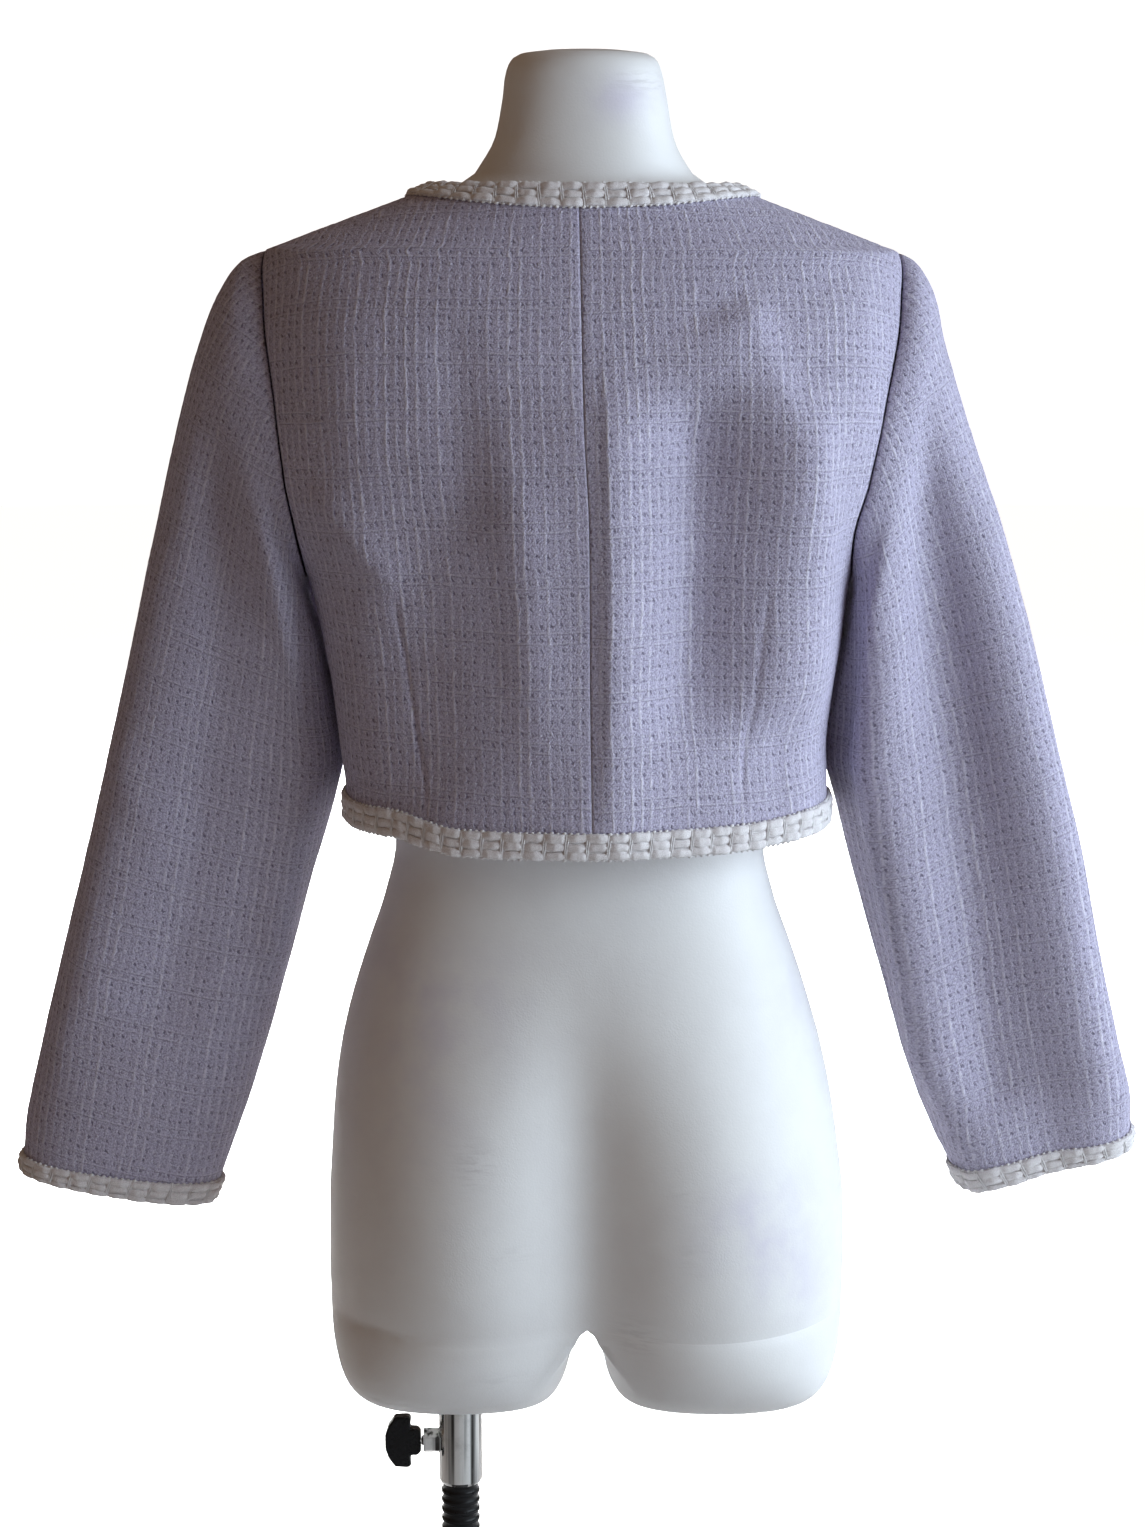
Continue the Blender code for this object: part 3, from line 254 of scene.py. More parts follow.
# Creases finer than the folds: a curve through three points, how far it spreads to either side
# of its own direction of travel, and its height. Those of the fronts, which the photo doesn't
# show, are like those behind. On a sleeve x is metres round from its outer line towards the
# back, and z metres down. The darts go down the back to the hem
CREASES = tables("x_a z_a x_b z_b x_c z_c left right height", """back
-.0105 1.080 -.0125  .920 -.012  .775 .006 .020  .0034
-.0820 1.090 -.0940 1.060 -.113 1.008 .030 .011  .0044
-.0560 1.045 -.0620  .960 -.058  .860 .011 .020 -.0038
-.1160 1.040 -.1235  .955 -.120  .840 .026 .015  .0064
-.1450 1.105 -.1530 1.055 -.141  .985 .030 .009  .0026
-.1060  .868 -.1080  .815 -.105  .740 .044 .012 -.0046
 .1300 1.100  .1340 1.040  .118  .975 .020 .022  .0022
 .1560  .985  .1300  .955  .100  .920 .008 .012  .0034
 .1060  .915  .1120  .850  .102  .745 .020 .026 -.0042
 .0520 1.040  .0370  .950  .030  .830 .015 .016  .0024
 .0820 1.090  .0700 1.020  .074  .930 .014 .016 -.0022
front
 .150 1.010  .118 .975  .085 .955 .008 .011 .0030
-.148 1.015 -.118 .985 -.080 .960 .008 .011 .0028
 .050  .930  .044 .870  .048 .800 .012 .016 .0030
-.056  .940 -.062 .880 -.058 .795 .014 .012 .0030
 .115  .900  .118 .850  .112 .800 .012 .012 .0024
-.108  .890 -.115 .850 -.110 .805 .012 .014 .0022
left
 .078 .05  .090 .200  .100 .400 .018 .017 -.0062
 .048 .08  .056 .200  .072 .360 .013 .012  .0030
 .020 .20  .045 .240  .072 .255 .008 .012  .0020
 .085 .33  .060 .350  .030 .345 .009 .009  .0016
-.030 .23 -.055 .255 -.090 .250 .008 .012  .0028
-.040 .10 -.050 .160 -.045 .230 .012 .012 -.0026
-.085 .06 -.080 .120 -.090 .200 .009 .011  .0026
right
 .020 .040  .026 .250  .034 .57 .015 .022  .0062
 .052 .040  .061 .250  .070 .58 .013 .015 -.0074
 .078 .040  .095 .250  .111 .56 .015 .011  .0064
 .106 .030  .117 .220  .130 .42 .012 .014 -.0046
-.025 .225 -.055 .250 -.090 .24 .008 .012  .0028
-.045 .090 -.052 .150 -.048 .22 .012 .012 -.0026
-.080 .300 -.056 .325 -.030 .32 .009 .009  .0018
darts
 .1088 .929  .1040 .880  .0880 .775 .0016 .0016 -.0011
-.0990 .929 -.0945 .885 -.0858 .775 .0016 .0016 -.0011
""")
ROUND_SCALE = 0.00078    # metres round a sleeve for each degree
CREASE_SAMPLES = 28
CREASE_UNEVEN = 0.22     # share of a crease's height that comes and goes along it
CREASE_ENDS = (0.30, 0.25)   # shares of its length over which it rises and fades

ROW_PITCH = 0.00175      # between rows of points on the cloth
COLUMN_PITCH = 0.00130
SLEEVE_COARSER = (1.10, 1.12)   # a sleeve's rows and columns against the bodice's
INNER_SKIP = 6           # the plain inner face has one point for so many outer ones
COARSE = 36              # rows and columns of the net that finds the flat cut
CUT_ROUNDS = 900         # in which the flat cut's threads settle to their true lengths
CUT_HASTE = 1.5          # of each round, above what the threads ask for

SEAM_ROLL = 0.0004       # how deep a seamed edge turns under, and over what width
SEAM_WIDTH = 0.0013
SEAM_PLAIN = 0.003       # beside a seam, over which the weave's relief sets in

# The weave in millimetres, across and down the cloth
WARP = 5.7               # between slubby light yarns
PICK = 7.65              # between rows of small slanted hollows
HOLLOW_ACROSS = 1.9      # from a light yarn to the middle of its hollow
HOLLOW_SIZE = (0.75, 1.60)
LEAN_COS, LEAN_SIN = 0.87, 0.50   # of the hollows' slant, 30 degrees
BAND = 30.6              # between pairs of light threads across
BAND_LINES = (-3.0, 2.7)
WARP_HEIGHT = 0.00026
HOLLOW_DEPTH = 0.00020
BAND_HEIGHT = 0.00014
UV_SCALE = 100.0         # millimetres of cloth in one unit of the thread counts it carries


def smooth(rows, column, at):
    """One column of a table anywhere along its first column, on a curve that never overshoots."""
    x = np.array([row[0] for row in rows])
    y = np.array([getattr(row, column) for row in rows])
    step = np.diff(x)
    rise = np.diff(y) / step
    before, after = rise[:-1], rise[1:]
    weight_before = 2 * step[1:] + step[:-1]
    weight_after = step[1:] + 2 * step[:-1]
    same_way = before * after > 0
    middle = ((weight_before + weight_after)
              / (weight_before / np.where(same_way, before, 1.0)
                 + weight_after / np.where(same_way, after, 1.0)))
    slope = np.concatenate([rise[:1], np.where(same_way, middle, 0.0), rise[-1:]])
    at = np.clip(np.asarray(at, dtype=float), x[0], x[-1])
    i = np.clip(np.searchsorted(x, at) - 1, 0, len(step) - 1)
    t = (at - x[i]) / step[i]
    return (y[i] * (1 + 2 * t) * (1 - t) ** 2 + y[i + 1] * t * t * (3 - 2 * t)
            + step[i] * t * (1 - t) * (slope[i] * (1 - t) - slope[i + 1] * t))


def between(rows, at):
    """A table's row anywhere along its first column."""
    return rows[0]._make([at, *(smooth(rows, column, at) for column in rows[0]._fields[1:])])


def ease(t):
    t = np.clip(t, 0.0, 1.0)
    return t * t * (3 - 2 * t)


def unit(vectors):
    return vectors / np.linalg.norm(vectors, axis=-1, keepdims=True)


def run_along(points):
    """How far along a line each of its points lies."""
    return np.concatenate([[0.0], np.cumsum(np.linalg.norm(np.diff(points, axis=0), axis=1))])


def squared(a, square):
    """Sine and cosine of an angle in radians, filled out towards a square."""
    return ((np.sin(a) + square * np.sin(3 * a)) / (1 - square),
            (np.cos(a) - square * np.cos(3 * a)) / (1 - square))


def oval(angle, row):
    """A level section: angle 0 is the centre back, 90 the +X side, 180 the centre front."""
    sine, cosine = squared(np.radians(angle), row.square)
    depth = np.where(np.cos(np.radians(angle)) >= 0, row.back, row.front)
    return row.half_width * sine, depth * cosine


# ---- bodice ----

def fold_height(x, z, is_back):
    """How far the folds lift the cloth at a point seen from behind or before."""
    total = np.zeros_like(x)
    for face, folds in FOLDS.items():
        for fold in folds:
            run = np.array([fold.x_end - fold.x_start, fold.z_end - fold.z_start])
            length = np.linalg.norm(run)
            run = run / length
            along = (x - fold.x_start) * run[0] + (z - fold.z_start) * run[1]
            across = (x - fold.x_start) * run[1] - (z - fold.z_start) * run[0]
            ends = ease(along / FOLD_END + 0.5) * ease((length - along) / FOLD_END + 0.5)
            width = np.where(across >= 0, fold.to_minus, fold.to_plus)
            lift = fold.height * ends * np.exp(-(across / width) ** 2)
            total = total + np.where(is_back == (face == "back"), lift, 0.0)
    return total


def bodice_plain(angle, z):
    row = between(BODICE, z)
    x, y = oval(angle, row)
    x = x + row.shift
    return np.stack([x, y, z + TILT * x], axis=-1)


def outward(surface, u, v, du, dv):
    """The unit normal of a surface by differences of its two numbers."""
    across = surface(u + du, v) - surface(u - du, v)
    up = surface(u, v + dv) - surface(u, v - dv)
    return unit(np.cross(up, across))


def bodice(angle, z, lift=0.0):
    """The cloth's outer face, its folds included, and points lifted off it."""
    angle, z = np.broadcast_arrays(np.asarray(angle, dtype=float), np.asarray(z, dtype=float))
    plain = bodice_plain(angle, z)
    normal = outward(bodice_plain, angle, z, TURN_STEP, LEVEL_STEP)
    fold = fold_height(plain[..., 0], plain[..., 2], np.cos(np.radians(angle)) >= 0)
    return plain + normal * (fold + lift)[..., None]


def neck_drop(angle):
    """How far the neckline lies below the neck point: nothing behind, a round scoop before."""
    turn = np.minimum(np.abs(180.0 - np.abs(angle)), 90.0)
    def share(degrees):
        return 1.0 / (1.0 + (degrees / FRONT_NECK_TURN) ** FRONT_NECK_POWER)
    return FRONT_NECK_DROP * (share(turn) - share(90.0)) / (1.0 - share(90.0))


def neck_climb(angle, level):
    """How far the neckline has already lowered the cloth at a level."""
    return neck_drop(angle) * ease((level - UNDERARM_Z) / (NECK_Z - UNDERARM_Z))


def armhole_turn(face, level):
    """Degrees that the armhole has cut in from the side at a level."""
    up = (level - UNDERARM_Z) / (SHOULDER_Z - UNDERARM_Z)
    inside = np.clip(up * (1 - up), 0.0, 0.25)
    return ARMHOLE_TURN[face] * 2 * np.sqrt(inside) * (1 + ARMHOLE_SKEW * (1 - 2 * up))


def hem_rise(angle, level):
    """How far the hem's own line still lifts the cloth at a level."""
    return smooth(HEM, "rise", angle) * (1 - ease((level - HEM_Z) / HEM_FADE))


# ---- sleeves ----

def sleeve_fold(side, around, down):
    total = np.zeros(np.broadcast(around, down).shape)
    for fold in SLEEVE_FOLDS[side]:
        t = (down - fold.start) / (fold.end - fold.start)
        middle = fold.around_start + (fold.around_end - fold.around_start) * t
        off = (around - middle + 180.0) % 360.0 - 180.0
        ends = (ease((down - fold.start) / SLEEVE_FOLD_END)
                * ease((fold.end + SLEEVE_FOLD_END - down) / SLEEVE_FOLD_END))
        total = total + fold.height * ends * np.exp(-(off / fold.width) ** 2)
    return total


def sleeve_section(side, around, down):
    """A sleeve's own section: 0 degrees is its outer edge, 90 its back, 180 its inner edge."""
    row = between(SLEEVE[side], down)
    a = np.radians(around)
    fold = sleeve_fold(side, around, down)
    behind, out = squared(a, SLEEVE_SQUARE)
    reach_x, reach_z = (row.outer_x - row.inner_x) / 2, (row.outer_z - row.inner_z) / 2
    widen = out + fold * np.cos(a) / np.hypot(reach_x, reach_z)
    x = (row.outer_x + row.inner_x) / 2 + reach_x * widen
    z = (row.outer_z + row.inner_z) / 2 + reach_z * widen
    y = np.where(behind >= 0, row.back, row.front) * behind - row.forward + fold * np.sin(a)
    return np.stack([x, y, z], axis=-1)


def armhole(side, around):
    """The armhole's seam on the bodice, by degrees round the sleeve, turned over to +X."""
    a = np.radians(around)
    level = UNDERARM_Z + (SHOULDER_Z - UNDERARM_Z) * (1 + np.cos(a)) / 2
    angle = 90.0 + np.where(np.sin(a) >= 0, -armhole_turn("back", level),
                            armhole_turn("front", level))
    points = bodice(SIDES[side] * angle, level - neck_climb(angle, level))
    return points * np.array([SIDES[side], 1.0, 1.0])


def sleeve_plain(side, around, down):
    start = np.maximum(down, 0.0)
    off_seam = (armhole(side, around) + np.array([GAP * 2, 0.0, 0.0])
                - sleeve_section(side, around, 0 * start))
    left = (1 - np.clip(start / ARMHOLE_FADE, 0.0, 1.0)) ** 2
    return sleeve_section(side, around, start) + off_seam * left[..., None]


def sleeve(side, around, down, lift=0.0):
    """A sleeve's outer face, and points lifted off it."""
    def surface(u, v):
        return sleeve_plain(side, u, np.clip(v, 0.0, SLEEVE[side][-1].down))
    around, down = np.broadcast_arrays(np.asarray(around, dtype=float),
                                       np.asarray(down, dtype=float))
    up = np.broadcast_to(lift, around.shape)[..., None]
    normal = outward(surface, around, down, SLEEVE_TURN_STEP, SLEEVE_DOWN_STEP)
    return (surface(around, down) + up * normal) * np.array([SIDES[side], 1.0, 1.0])


def even_shares(curve, ends, samples=400):
    """A lookup of numbers evenly spaced along a curve between its ends, and its length."""
    raw = np.linspace(ends[0], ends[1], samples)
    run = run_along(curve(raw))
    return lambda share: np.interp(share, run / run[-1], raw), run[-1]


def neck_place(angle, inward, lift, steps=4):
    """A point on the bodice at a distance below the neckline, square to it."""
    z = NECK_Z - neck_drop(angle)
    turn, drop = TURN_STEP, LEVEL_STEP
    tilt = (neck_drop(angle - turn) - neck_drop(angle + turn)) / (2 * turn)

    def dot(one, other):
        return np.sum(one * other, axis=-1)

    for _ in range(steps):
        by_angle = (bodice_plain(angle + turn, z) - bodice_plain(angle - turn, z)) / (2 * turn)
        by_z = (bodice_plain(angle, z + drop) - bodice_plain(angle, z - drop)) / (2 * drop)
        edge = by_angle + by_z * tilt[..., None]
        down = unit(np.cross(edge, np.cross(by_z, by_angle)))
        down = np.where(dot(down, by_z)[..., None] > 0, -down, down)
        aa, zz, az = dot(by_angle, by_angle), dot(by_z, by_z), dot(by_angle, by_z)
        da, dz = dot(down, by_angle), dot(down, by_z)
        part = inward / steps / (aa * zz - az * az)
        angle = angle + part * (da * zz - dz * az)
        z = z + part * (dz * aa - da * az)
    return bodice(angle, z, lift)


# ---- form ----

def seated_row(z):
    """A row of the form where the cloth rests on it."""
    row = between(BODICE, z + SEAT_DROP)
    return FORM_ROWS["neck"][0]._make([z, row.half_width, row.back - SEAT_DROP,
                                       row.front - SEAT_DROP, row.square, row.shift, 0, 0, 1])


FORM = FORM_ROWS["lower"] + [seated_row(z) for z in SEATED_LEVELS] + FORM_ROWS["neck"]


def form_section(angle, z):
    row = between(FORM, z)
    x, y = oval(angle, row)
    narrow, wide = np.exp(-(x / CLEFT_WIDTH) ** 2), np.exp(-(x / CLEFT_SPREAD) ** 2)
    cleft = row.cleft * (CLEFT_SHARE * narrow + (1 - CLEFT_SHARE) * wide)
    y = y - np.where(y >= 0, cleft, -row.crease * narrow)
    x = x + row.shift
    return np.stack([x, y, z + TILT * row.tilt * x], axis=-1)


def stub_ring(row, edge):
    """One ring of the +X stub: the torso's half ring, rounded towards an oval of its own."""
    a = np.linspace(0.0, 180.0, FORM_AROUND // 2 + 1)
    half = form_section(a, np.full_like(a, NOTCH_TOP_Z))[:, :2]
    under = np.linspace(half[-1, 1], half[0, 1], NOTCH_STEPS + 1)[1:-1]
    start = np.concatenate([half, np.stack([0 * under, under], axis=-1)])
    start[:, 0] *= row.outer / edge
    outer_turn = STUB_START + STUB_SWEEP * a / 180.0
    rest = 360.0 - STUB_SWEEP
    inner_turn = outer_turn[-1] + rest * np.arange(1, NOTCH_STEPS) / NOTCH_STEPS
    turn = np.radians(np.concatenate([outer_turn, inner_turn]))
    across, along = squared(turn, STUB_SQUARE)
    x = (row.inner + row.outer) / 2 + (row.outer - row.inner) / 2 * across
    y = np.where(np.cos(turn) >= 0, row.back, row.front) * along
    ring = start * (1 - row.rounded) + np.stack([x, y], axis=-1) * row.rounded
    ring[:, 0] = np.maximum(ring[:, 0], row.inner)
    return np.concatenate([ring, np.full((len(ring), 1), row.z)], axis=1)


# ---- finer cloth: its creases, seams and weave ----

def crease_height(creases, x, z):
    """Height of the creases at points, each a soft uneven ridge or trough along its curve."""
    x, z = np.broadcast_arrays(x, z)
    total = np.zeros(x.shape)
    t = np.linspace(0.0, 1.0, CREASE_SAMPLES)
    for crease in creases:
        a, b, c = np.array(crease[:6]).reshape(3, 2)
        ctrl = 2 * b - (a + c) / 2
        path = np.outer((1 - t) ** 2, a) + np.outer(2 * t * (1 - t), ctrl) + np.outer(t ** 2, c)
        way = unit(np.gradient(path, axis=0))
        length = np.linalg.norm(path[-1] - path[0])
        best = np.full(x.shape, np.inf)
        across, along = np.zeros(x.shape), np.zeros(x.shape)
        for i in range(CREASE_SAMPLES):
            dx, dz = x - path[i, 0], z - path[i, 1]
            far = dx * dx + dz * dz
            nearer = far < best
            best = np.where(nearer, far, best)
            across = np.where(nearer, dx * way[i, 1] - dz * way[i, 0], across)
            run = dx * way[i, 0] + dz * way[i, 1]
            along = np.where(nearer, t[i] + run / length, along)
        width = np.where(across >= 0, crease.right, crease.left)
        uneven = np.sin(9.0 * along + 40.0 * crease.x_a) * np.sin(4.3 * along + 2.0)
        ends = ease(along / CREASE_ENDS[0]) * ease((1 - along) / CREASE_ENDS[1])
        total += (crease.height * ends * (1 + CREASE_UNEVEN * uneven)
                  * np.exp(-(across / width) ** 2))
    return total


def flat_cut(points, middle):
    """Flat places of a net of points, found by letting its threads take their true lengths."""
    rows, columns = points.shape[:2]
    across = np.linalg.norm(np.diff(points, axis=1), axis=2)
    u = np.concatenate([np.zeros((rows, 1)), np.cumsum(across, axis=1)], axis=1)
    u = u - u[:, middle:middle + 1]
    v = run_along(points[:, middle])[:, None] + 0 * u
    number = np.arange(rows * columns).reshape(rows, columns)
    links = []
    for di, dj in ((0, 1), (1, 0), (1, 1), (1, -1)):
        first, last = max(0, -dj), columns - max(0, dj)
        links.append((number[:rows - di, first:last].ravel(),
                      number[di:, first + dj:last + dj].ravel()))
    a, b = (np.concatenate(ends) for ends in zip(*links))
    solid = points.reshape(-1, 3)
    length = np.linalg.norm(solid[a] - solid[b], axis=1)
    flat = np.stack([u, v], axis=-1).reshape(-1, 2)
    count = np.bincount(np.concatenate([a, b]), minlength=len(flat))[:, None]
    for _ in range(CUT_ROUNDS):
        gap = flat[b] - flat[a]
        now = np.maximum(np.linalg.norm(gap, axis=1), 1e-9)
        move = gap * (0.5 * (now - length) / now)[:, None]
        shift = np.stack([np.bincount(a, move[:, k], len(flat))
                          - np.bincount(b, move[:, k], len(flat)) for k in (0, 1)], axis=-1)
        flat += CUT_HASTE * shift / count
        flat[number[:, middle], 0] = 0.0
    return flat.reshape(rows, columns, 2)


def step_and_share(at, count):
    """The whole number below a place in a row of so many points, and how far past it that lies."""
    below = np.clip(at.astype(int), 0, count - 2)
    return below, (at - below)[..., None]


def spread(values, rows, columns):
    """A net's values at any row and column numbers between its own."""
    i, s = step_and_share(rows, values.shape[0])
    j, t = step_and_share(columns, values.shape[1])
    return ((values[i, j] * (1 - t) + values[i, j + 1] * t) * (1 - s)
            + (values[i + 1, j] * (1 - t) + values[i + 1, j + 1] * t) * s)


def grain(flat):
    """Thread counts in millimetres, a little wavy, as hand-loomed yarns are."""
    u, v = flat[..., 0] * 1000, flat[..., 1] * 1000
    wavy_u = 0.45 * np.sin(v / 17.0 + 1.3 * np.sin(u / 23.0)) + 0.25 * np.sin(v / 6.1 + u / 9.0)
    wavy_v = 0.55 * np.sin(u / 21.0 + 0.8 * np.sin(v / 31.0)) + 0.20 * np.sin(u / 5.3 + v / 11.0)
    return np.stack([u + wavy_u, v + wavy_v], axis=-1)


def weave_height(threads):
    """The tweed's coarser relief: slubby yarns, small slanted hollows, pairs of threads across."""
    u, v = threads[..., 0], threads[..., 1]
    yarn = np.floor(u / WARP + 0.5)
    slub = 0.55 + 0.45 * np.sin(v / 7.3 + 2.4 * yarn) * np.sin(v / 19.0 + 5.1 * yarn)
    ridge = np.exp(-((u - yarn * WARP) / 1.1) ** 2) * slub
    cell = np.floor(u / WARP)
    row = np.floor(v / PICK + 0.5)
    x = u - cell * WARP - HOLLOW_ACROSS - 0.2
    y = v - row * PICK
    across, along = LEAN_COS * x - LEAN_SIN * y, LEAN_SIN * x + LEAN_COS * y
    deep = 0.70 + 0.30 * np.sin(3.7 * row + 1.9 * cell)
    hollow = np.exp(-(across / 1.1) ** 2 - (along / 1.7) ** 2) * deep
    band = sum(np.exp(-(((v - line) / BAND + 0.5) % 1.0 * BAND - BAND / 2) ** 2 / 1.2)
               for line in BAND_LINES)
    return WARP_HEIGHT * ridge - HOLLOW_DEPTH * hollow + BAND_HEIGHT * band


def mesh_piece(name, points, faces, body, replaces, look, sharp=None):
    """A smooth piece that rides with a body in place of a solid."""
    mesh = bpy.data.meshes.new(name)
    mesh.from_pydata(points.reshape(-1, 3).tolist(), [], faces)
    mesh.shade_smooth()
    mesh.validate()
    if sharp:
        mesh.set_sharp_from_angle(angle=math.radians(sharp))
    mesh.materials.append(look)
    thing = into_scene(name, mesh)
    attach(thing, body)
    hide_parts(replaces)
    return thing


def quads(rows, columns, closed_across=False, closed_down=False, start=0):
    """Faces of a net of points, as an array of four numbers each."""
    i = np.arange(rows if closed_down else rows - 1)[:, None]
    j = np.arange(columns if closed_across else columns - 1)[None, :]
    k, m = (i + 1) % rows, (j + 1) % columns
    parts = [i * columns + j, i * columns + m, k * columns + m, k * columns + j]
    return start + np.stack(np.broadcast_arrays(*parts), axis=-1).reshape(-1, 4)


def cloth_wall(node, outer, inner, threads, last_threads=None):
    """A wall of cloth: a fine outer face, a coarser inner one, and rims that join the two.

    Where it closes round, last_threads carries the thread counts on past its last column.
    """
    closed = last_threads is not None
    rows, columns = outer.shape[:2]
    skip = INNER_SKIP
    inner = inner[::skip, ::skip]
    inner_rows, inner_columns = inner.shape[:2]
    faces = quads(rows, columns, closed)[:, ::-1].tolist()
    fine = np.arange(rows * columns).reshape(rows, columns)
    plain = fine.size + np.arange(inner_rows * inner_columns).reshape(inner_rows, inner_columns)
    faces += quads(inner_rows, inner_columns, closed, start=fine.size).tolist()
    if closed:
        fine, plain = (np.concatenate([net, net[:, :1]], axis=1) for net in (fine, plain))
    rims = [(fine[0], plain[0], 1), (fine[-1], plain[-1], -1)]
    if not closed:
        rims += [(fine[:, 0], plain[:, 0], -1), (fine[:, -1], plain[:, -1], 1)]
    for edge, under, turn in rims:
        for i in range(len(under) - 1):
            face = [*edge[i * skip:(i + 1) * skip + 1].tolist(), int(under[i + 1]), int(under[i])]
            faces.append(face[::turn])
    points = np.concatenate([outer.reshape(-1, 3), inner.reshape(-1, 3)])
    thing = mesh_piece("tweed_" + node, points, faces, "form", node, TWEED_LOOK)
    mesh = thing.data
    coords = np.concatenate([threads.reshape(-1, 2), threads[::skip, ::skip].reshape(-1, 2)])
    loops = np.empty(len(mesh.loops), dtype=np.int32)
    mesh.loops.foreach_get("vertex_index", loops)
    at_loops = coords[loops]
    if closed:
        last = np.arange(rows - 1) * columns + columns - 1
        corner = (last[:, None] * 4 + np.arange(4)).ravel()
        wrapped = corner[loops[corner] % columns == 0]
        at_loops[wrapped] = last_threads[loops[wrapped] // columns]
    layer = mesh.uv_layers.new(name="threads")
    layer.data.foreach_set("uv", (at_loops / UV_SCALE).astype(np.float32).ravel())
    return thing


def even_levels(curve, low, high, pitch):
    """Levels between two ends, a pitch apart along a curve, in a whole number of skips."""
    raw = np.linspace(low, high, 600)
    run = run_along(curve(raw))
    count = INNER_SKIP * max(1, round(run[-1] / pitch / INNER_SKIP))
    return np.interp(np.linspace(0.0, run[-1], count + 1), run, raw)[:, None]


def panel_edges(face, side, level):
    """Degrees from the middle to a quarter's centre edge and to its side edge, at a level."""
    row = between(BODICE, level)
    side_turn = 90.0 - armhole_turn(face, level) - np.degrees(GAP / 2 / getattr(row, face))
    if face == "back":
        seam_x = smooth(BACK_SEAM, "x", level) - row.shift
        per_radian = row.half_width * (1 + 3 * row.square) / (1 - row.square)
        centre = np.degrees((SIDES[side] * seam_x + GAP / 2) / per_radian)
    else:
        centre = np.degrees(FRONT_OPENING / 2 / row.half_width)
    return centre, side_turn


def panel_at(face, side, share, level):
    """Angle and height of a point of a quarter of the bodice, by its share from the centre edge."""
    centre, side_turn = panel_edges(face, side, level)
    from_centre = centre + (side_turn - centre) * share
    angle = SIDES[side] * (from_centre if face == "back" else 180.0 - from_centre)
    return angle, level - neck_climb(angle, level) + hem_rise(angle, level)


def panel_place(flat, face, side, share, level):
    """Flat places of points of a quarter, found at their angle in the net's nearest two rows."""
    centre, side_turn = panel_edges(face, side, level)
    from_centre = centre + (side_turn - centre) * share
    below, mix = step_and_share((level - HEM_Z) / (NECK_Z - HEM_Z) * (COARSE - 1), COARSE)
    found = []
    for row in (below, below + 1):
        row_level = HEM_Z + (NECK_Z - HEM_Z) * row / (COARSE - 1)
        row_centre, row_side = panel_edges(face, side, row_level)
        column = (from_centre - row_centre) / (row_side - row_centre) * (COARSE - 1)
        j, t = step_and_share(column, COARSE)
        found.append(flat[row, j] * (1 - t) + flat[row, j + 1] * t)
    return found[0] * (1 - mix) + found[1] * mix


def bodice_cloth(angle, z, lift=0.0):
    """The bodice's face with its finer creases."""
    x, _, up = np.moveaxis(bodice_plain(angle, z), -1, 0)
    crease = np.where(np.cos(np.radians(angle)) >= 0, crease_height(CREASES["back"], x, up),
                      crease_height(CREASES["front"], x, up))
    return bodice(angle, z, crease + lift)


def seam(distance):
    """How far a seamed edge has turned under, one at the seam itself."""
    return np.exp(-(distance / SEAM_WIDTH) ** 2)


def bodice_panel(face, side):
    coarse_level = np.linspace(HEM_Z, NECK_Z, COARSE)[:, None]
    coarse_share = np.linspace(0.0, 1.0, COARSE)[None, :]
    flat = flat_cut(bodice(*panel_at(face, side, coarse_share, coarse_level)), 0)

    def slope(level):
        return sum(bodice(*panel_at(face, side, np.full_like(level, share), level))
                   for share in (0.25, 0.9)) * 0.5

    level = even_levels(slope, HEM_Z, NECK_Z, ROW_PITCH)
    columns = INNER_SKIP * round(float(flat[..., 0].max()) / COLUMN_PITCH / INNER_SKIP)
    share = np.linspace(0.0, 1.0, columns + 1)[None, :]
    place = panel_place(flat, face, side, share, level)
    # across the cloth to the right and down it, as one who faces it sees them
    is_turned = (face == "back") == (side == "right")
    threads = grain(place * np.array([1.0 if is_turned else -1.0, -1.0]))
    angle, z = panel_at(face, side, share, level)
    to_centre = place[..., 0]
    to_side = np.maximum(to_centre[:, -1:] - to_centre, 0.0)
    relief = weave_height(threads) * np.minimum(np.minimum(to_side, to_centre) / SEAM_PLAIN, 1.0)
    relief = relief - SEAM_ROLL * seam(to_side)
    if face == "back":
        x, _, up = np.moveaxis(bodice_plain(angle, z), -1, 0)
        relief = relief - SEAM_ROLL * seam(to_centre) + crease_height(CREASES["darts"], x, up)
    nets = bodice_cloth(angle, z, relief), bodice_cloth(angle, z, -WALL), threads
    if is_turned:
        nets = (values[:, ::-1] for values in nets)
    return cloth_wall(face + "_" + side, *nets), flat


def sleeve_cloth(side, around, down, lift=0.0):
    turned_round = (around + 180.0) % 360.0 - 180.0
    crease = crease_height(CREASES[side], turned_round * ROUND_SCALE, down + 0 * around)
    return sleeve(side, around, down, crease + lift)


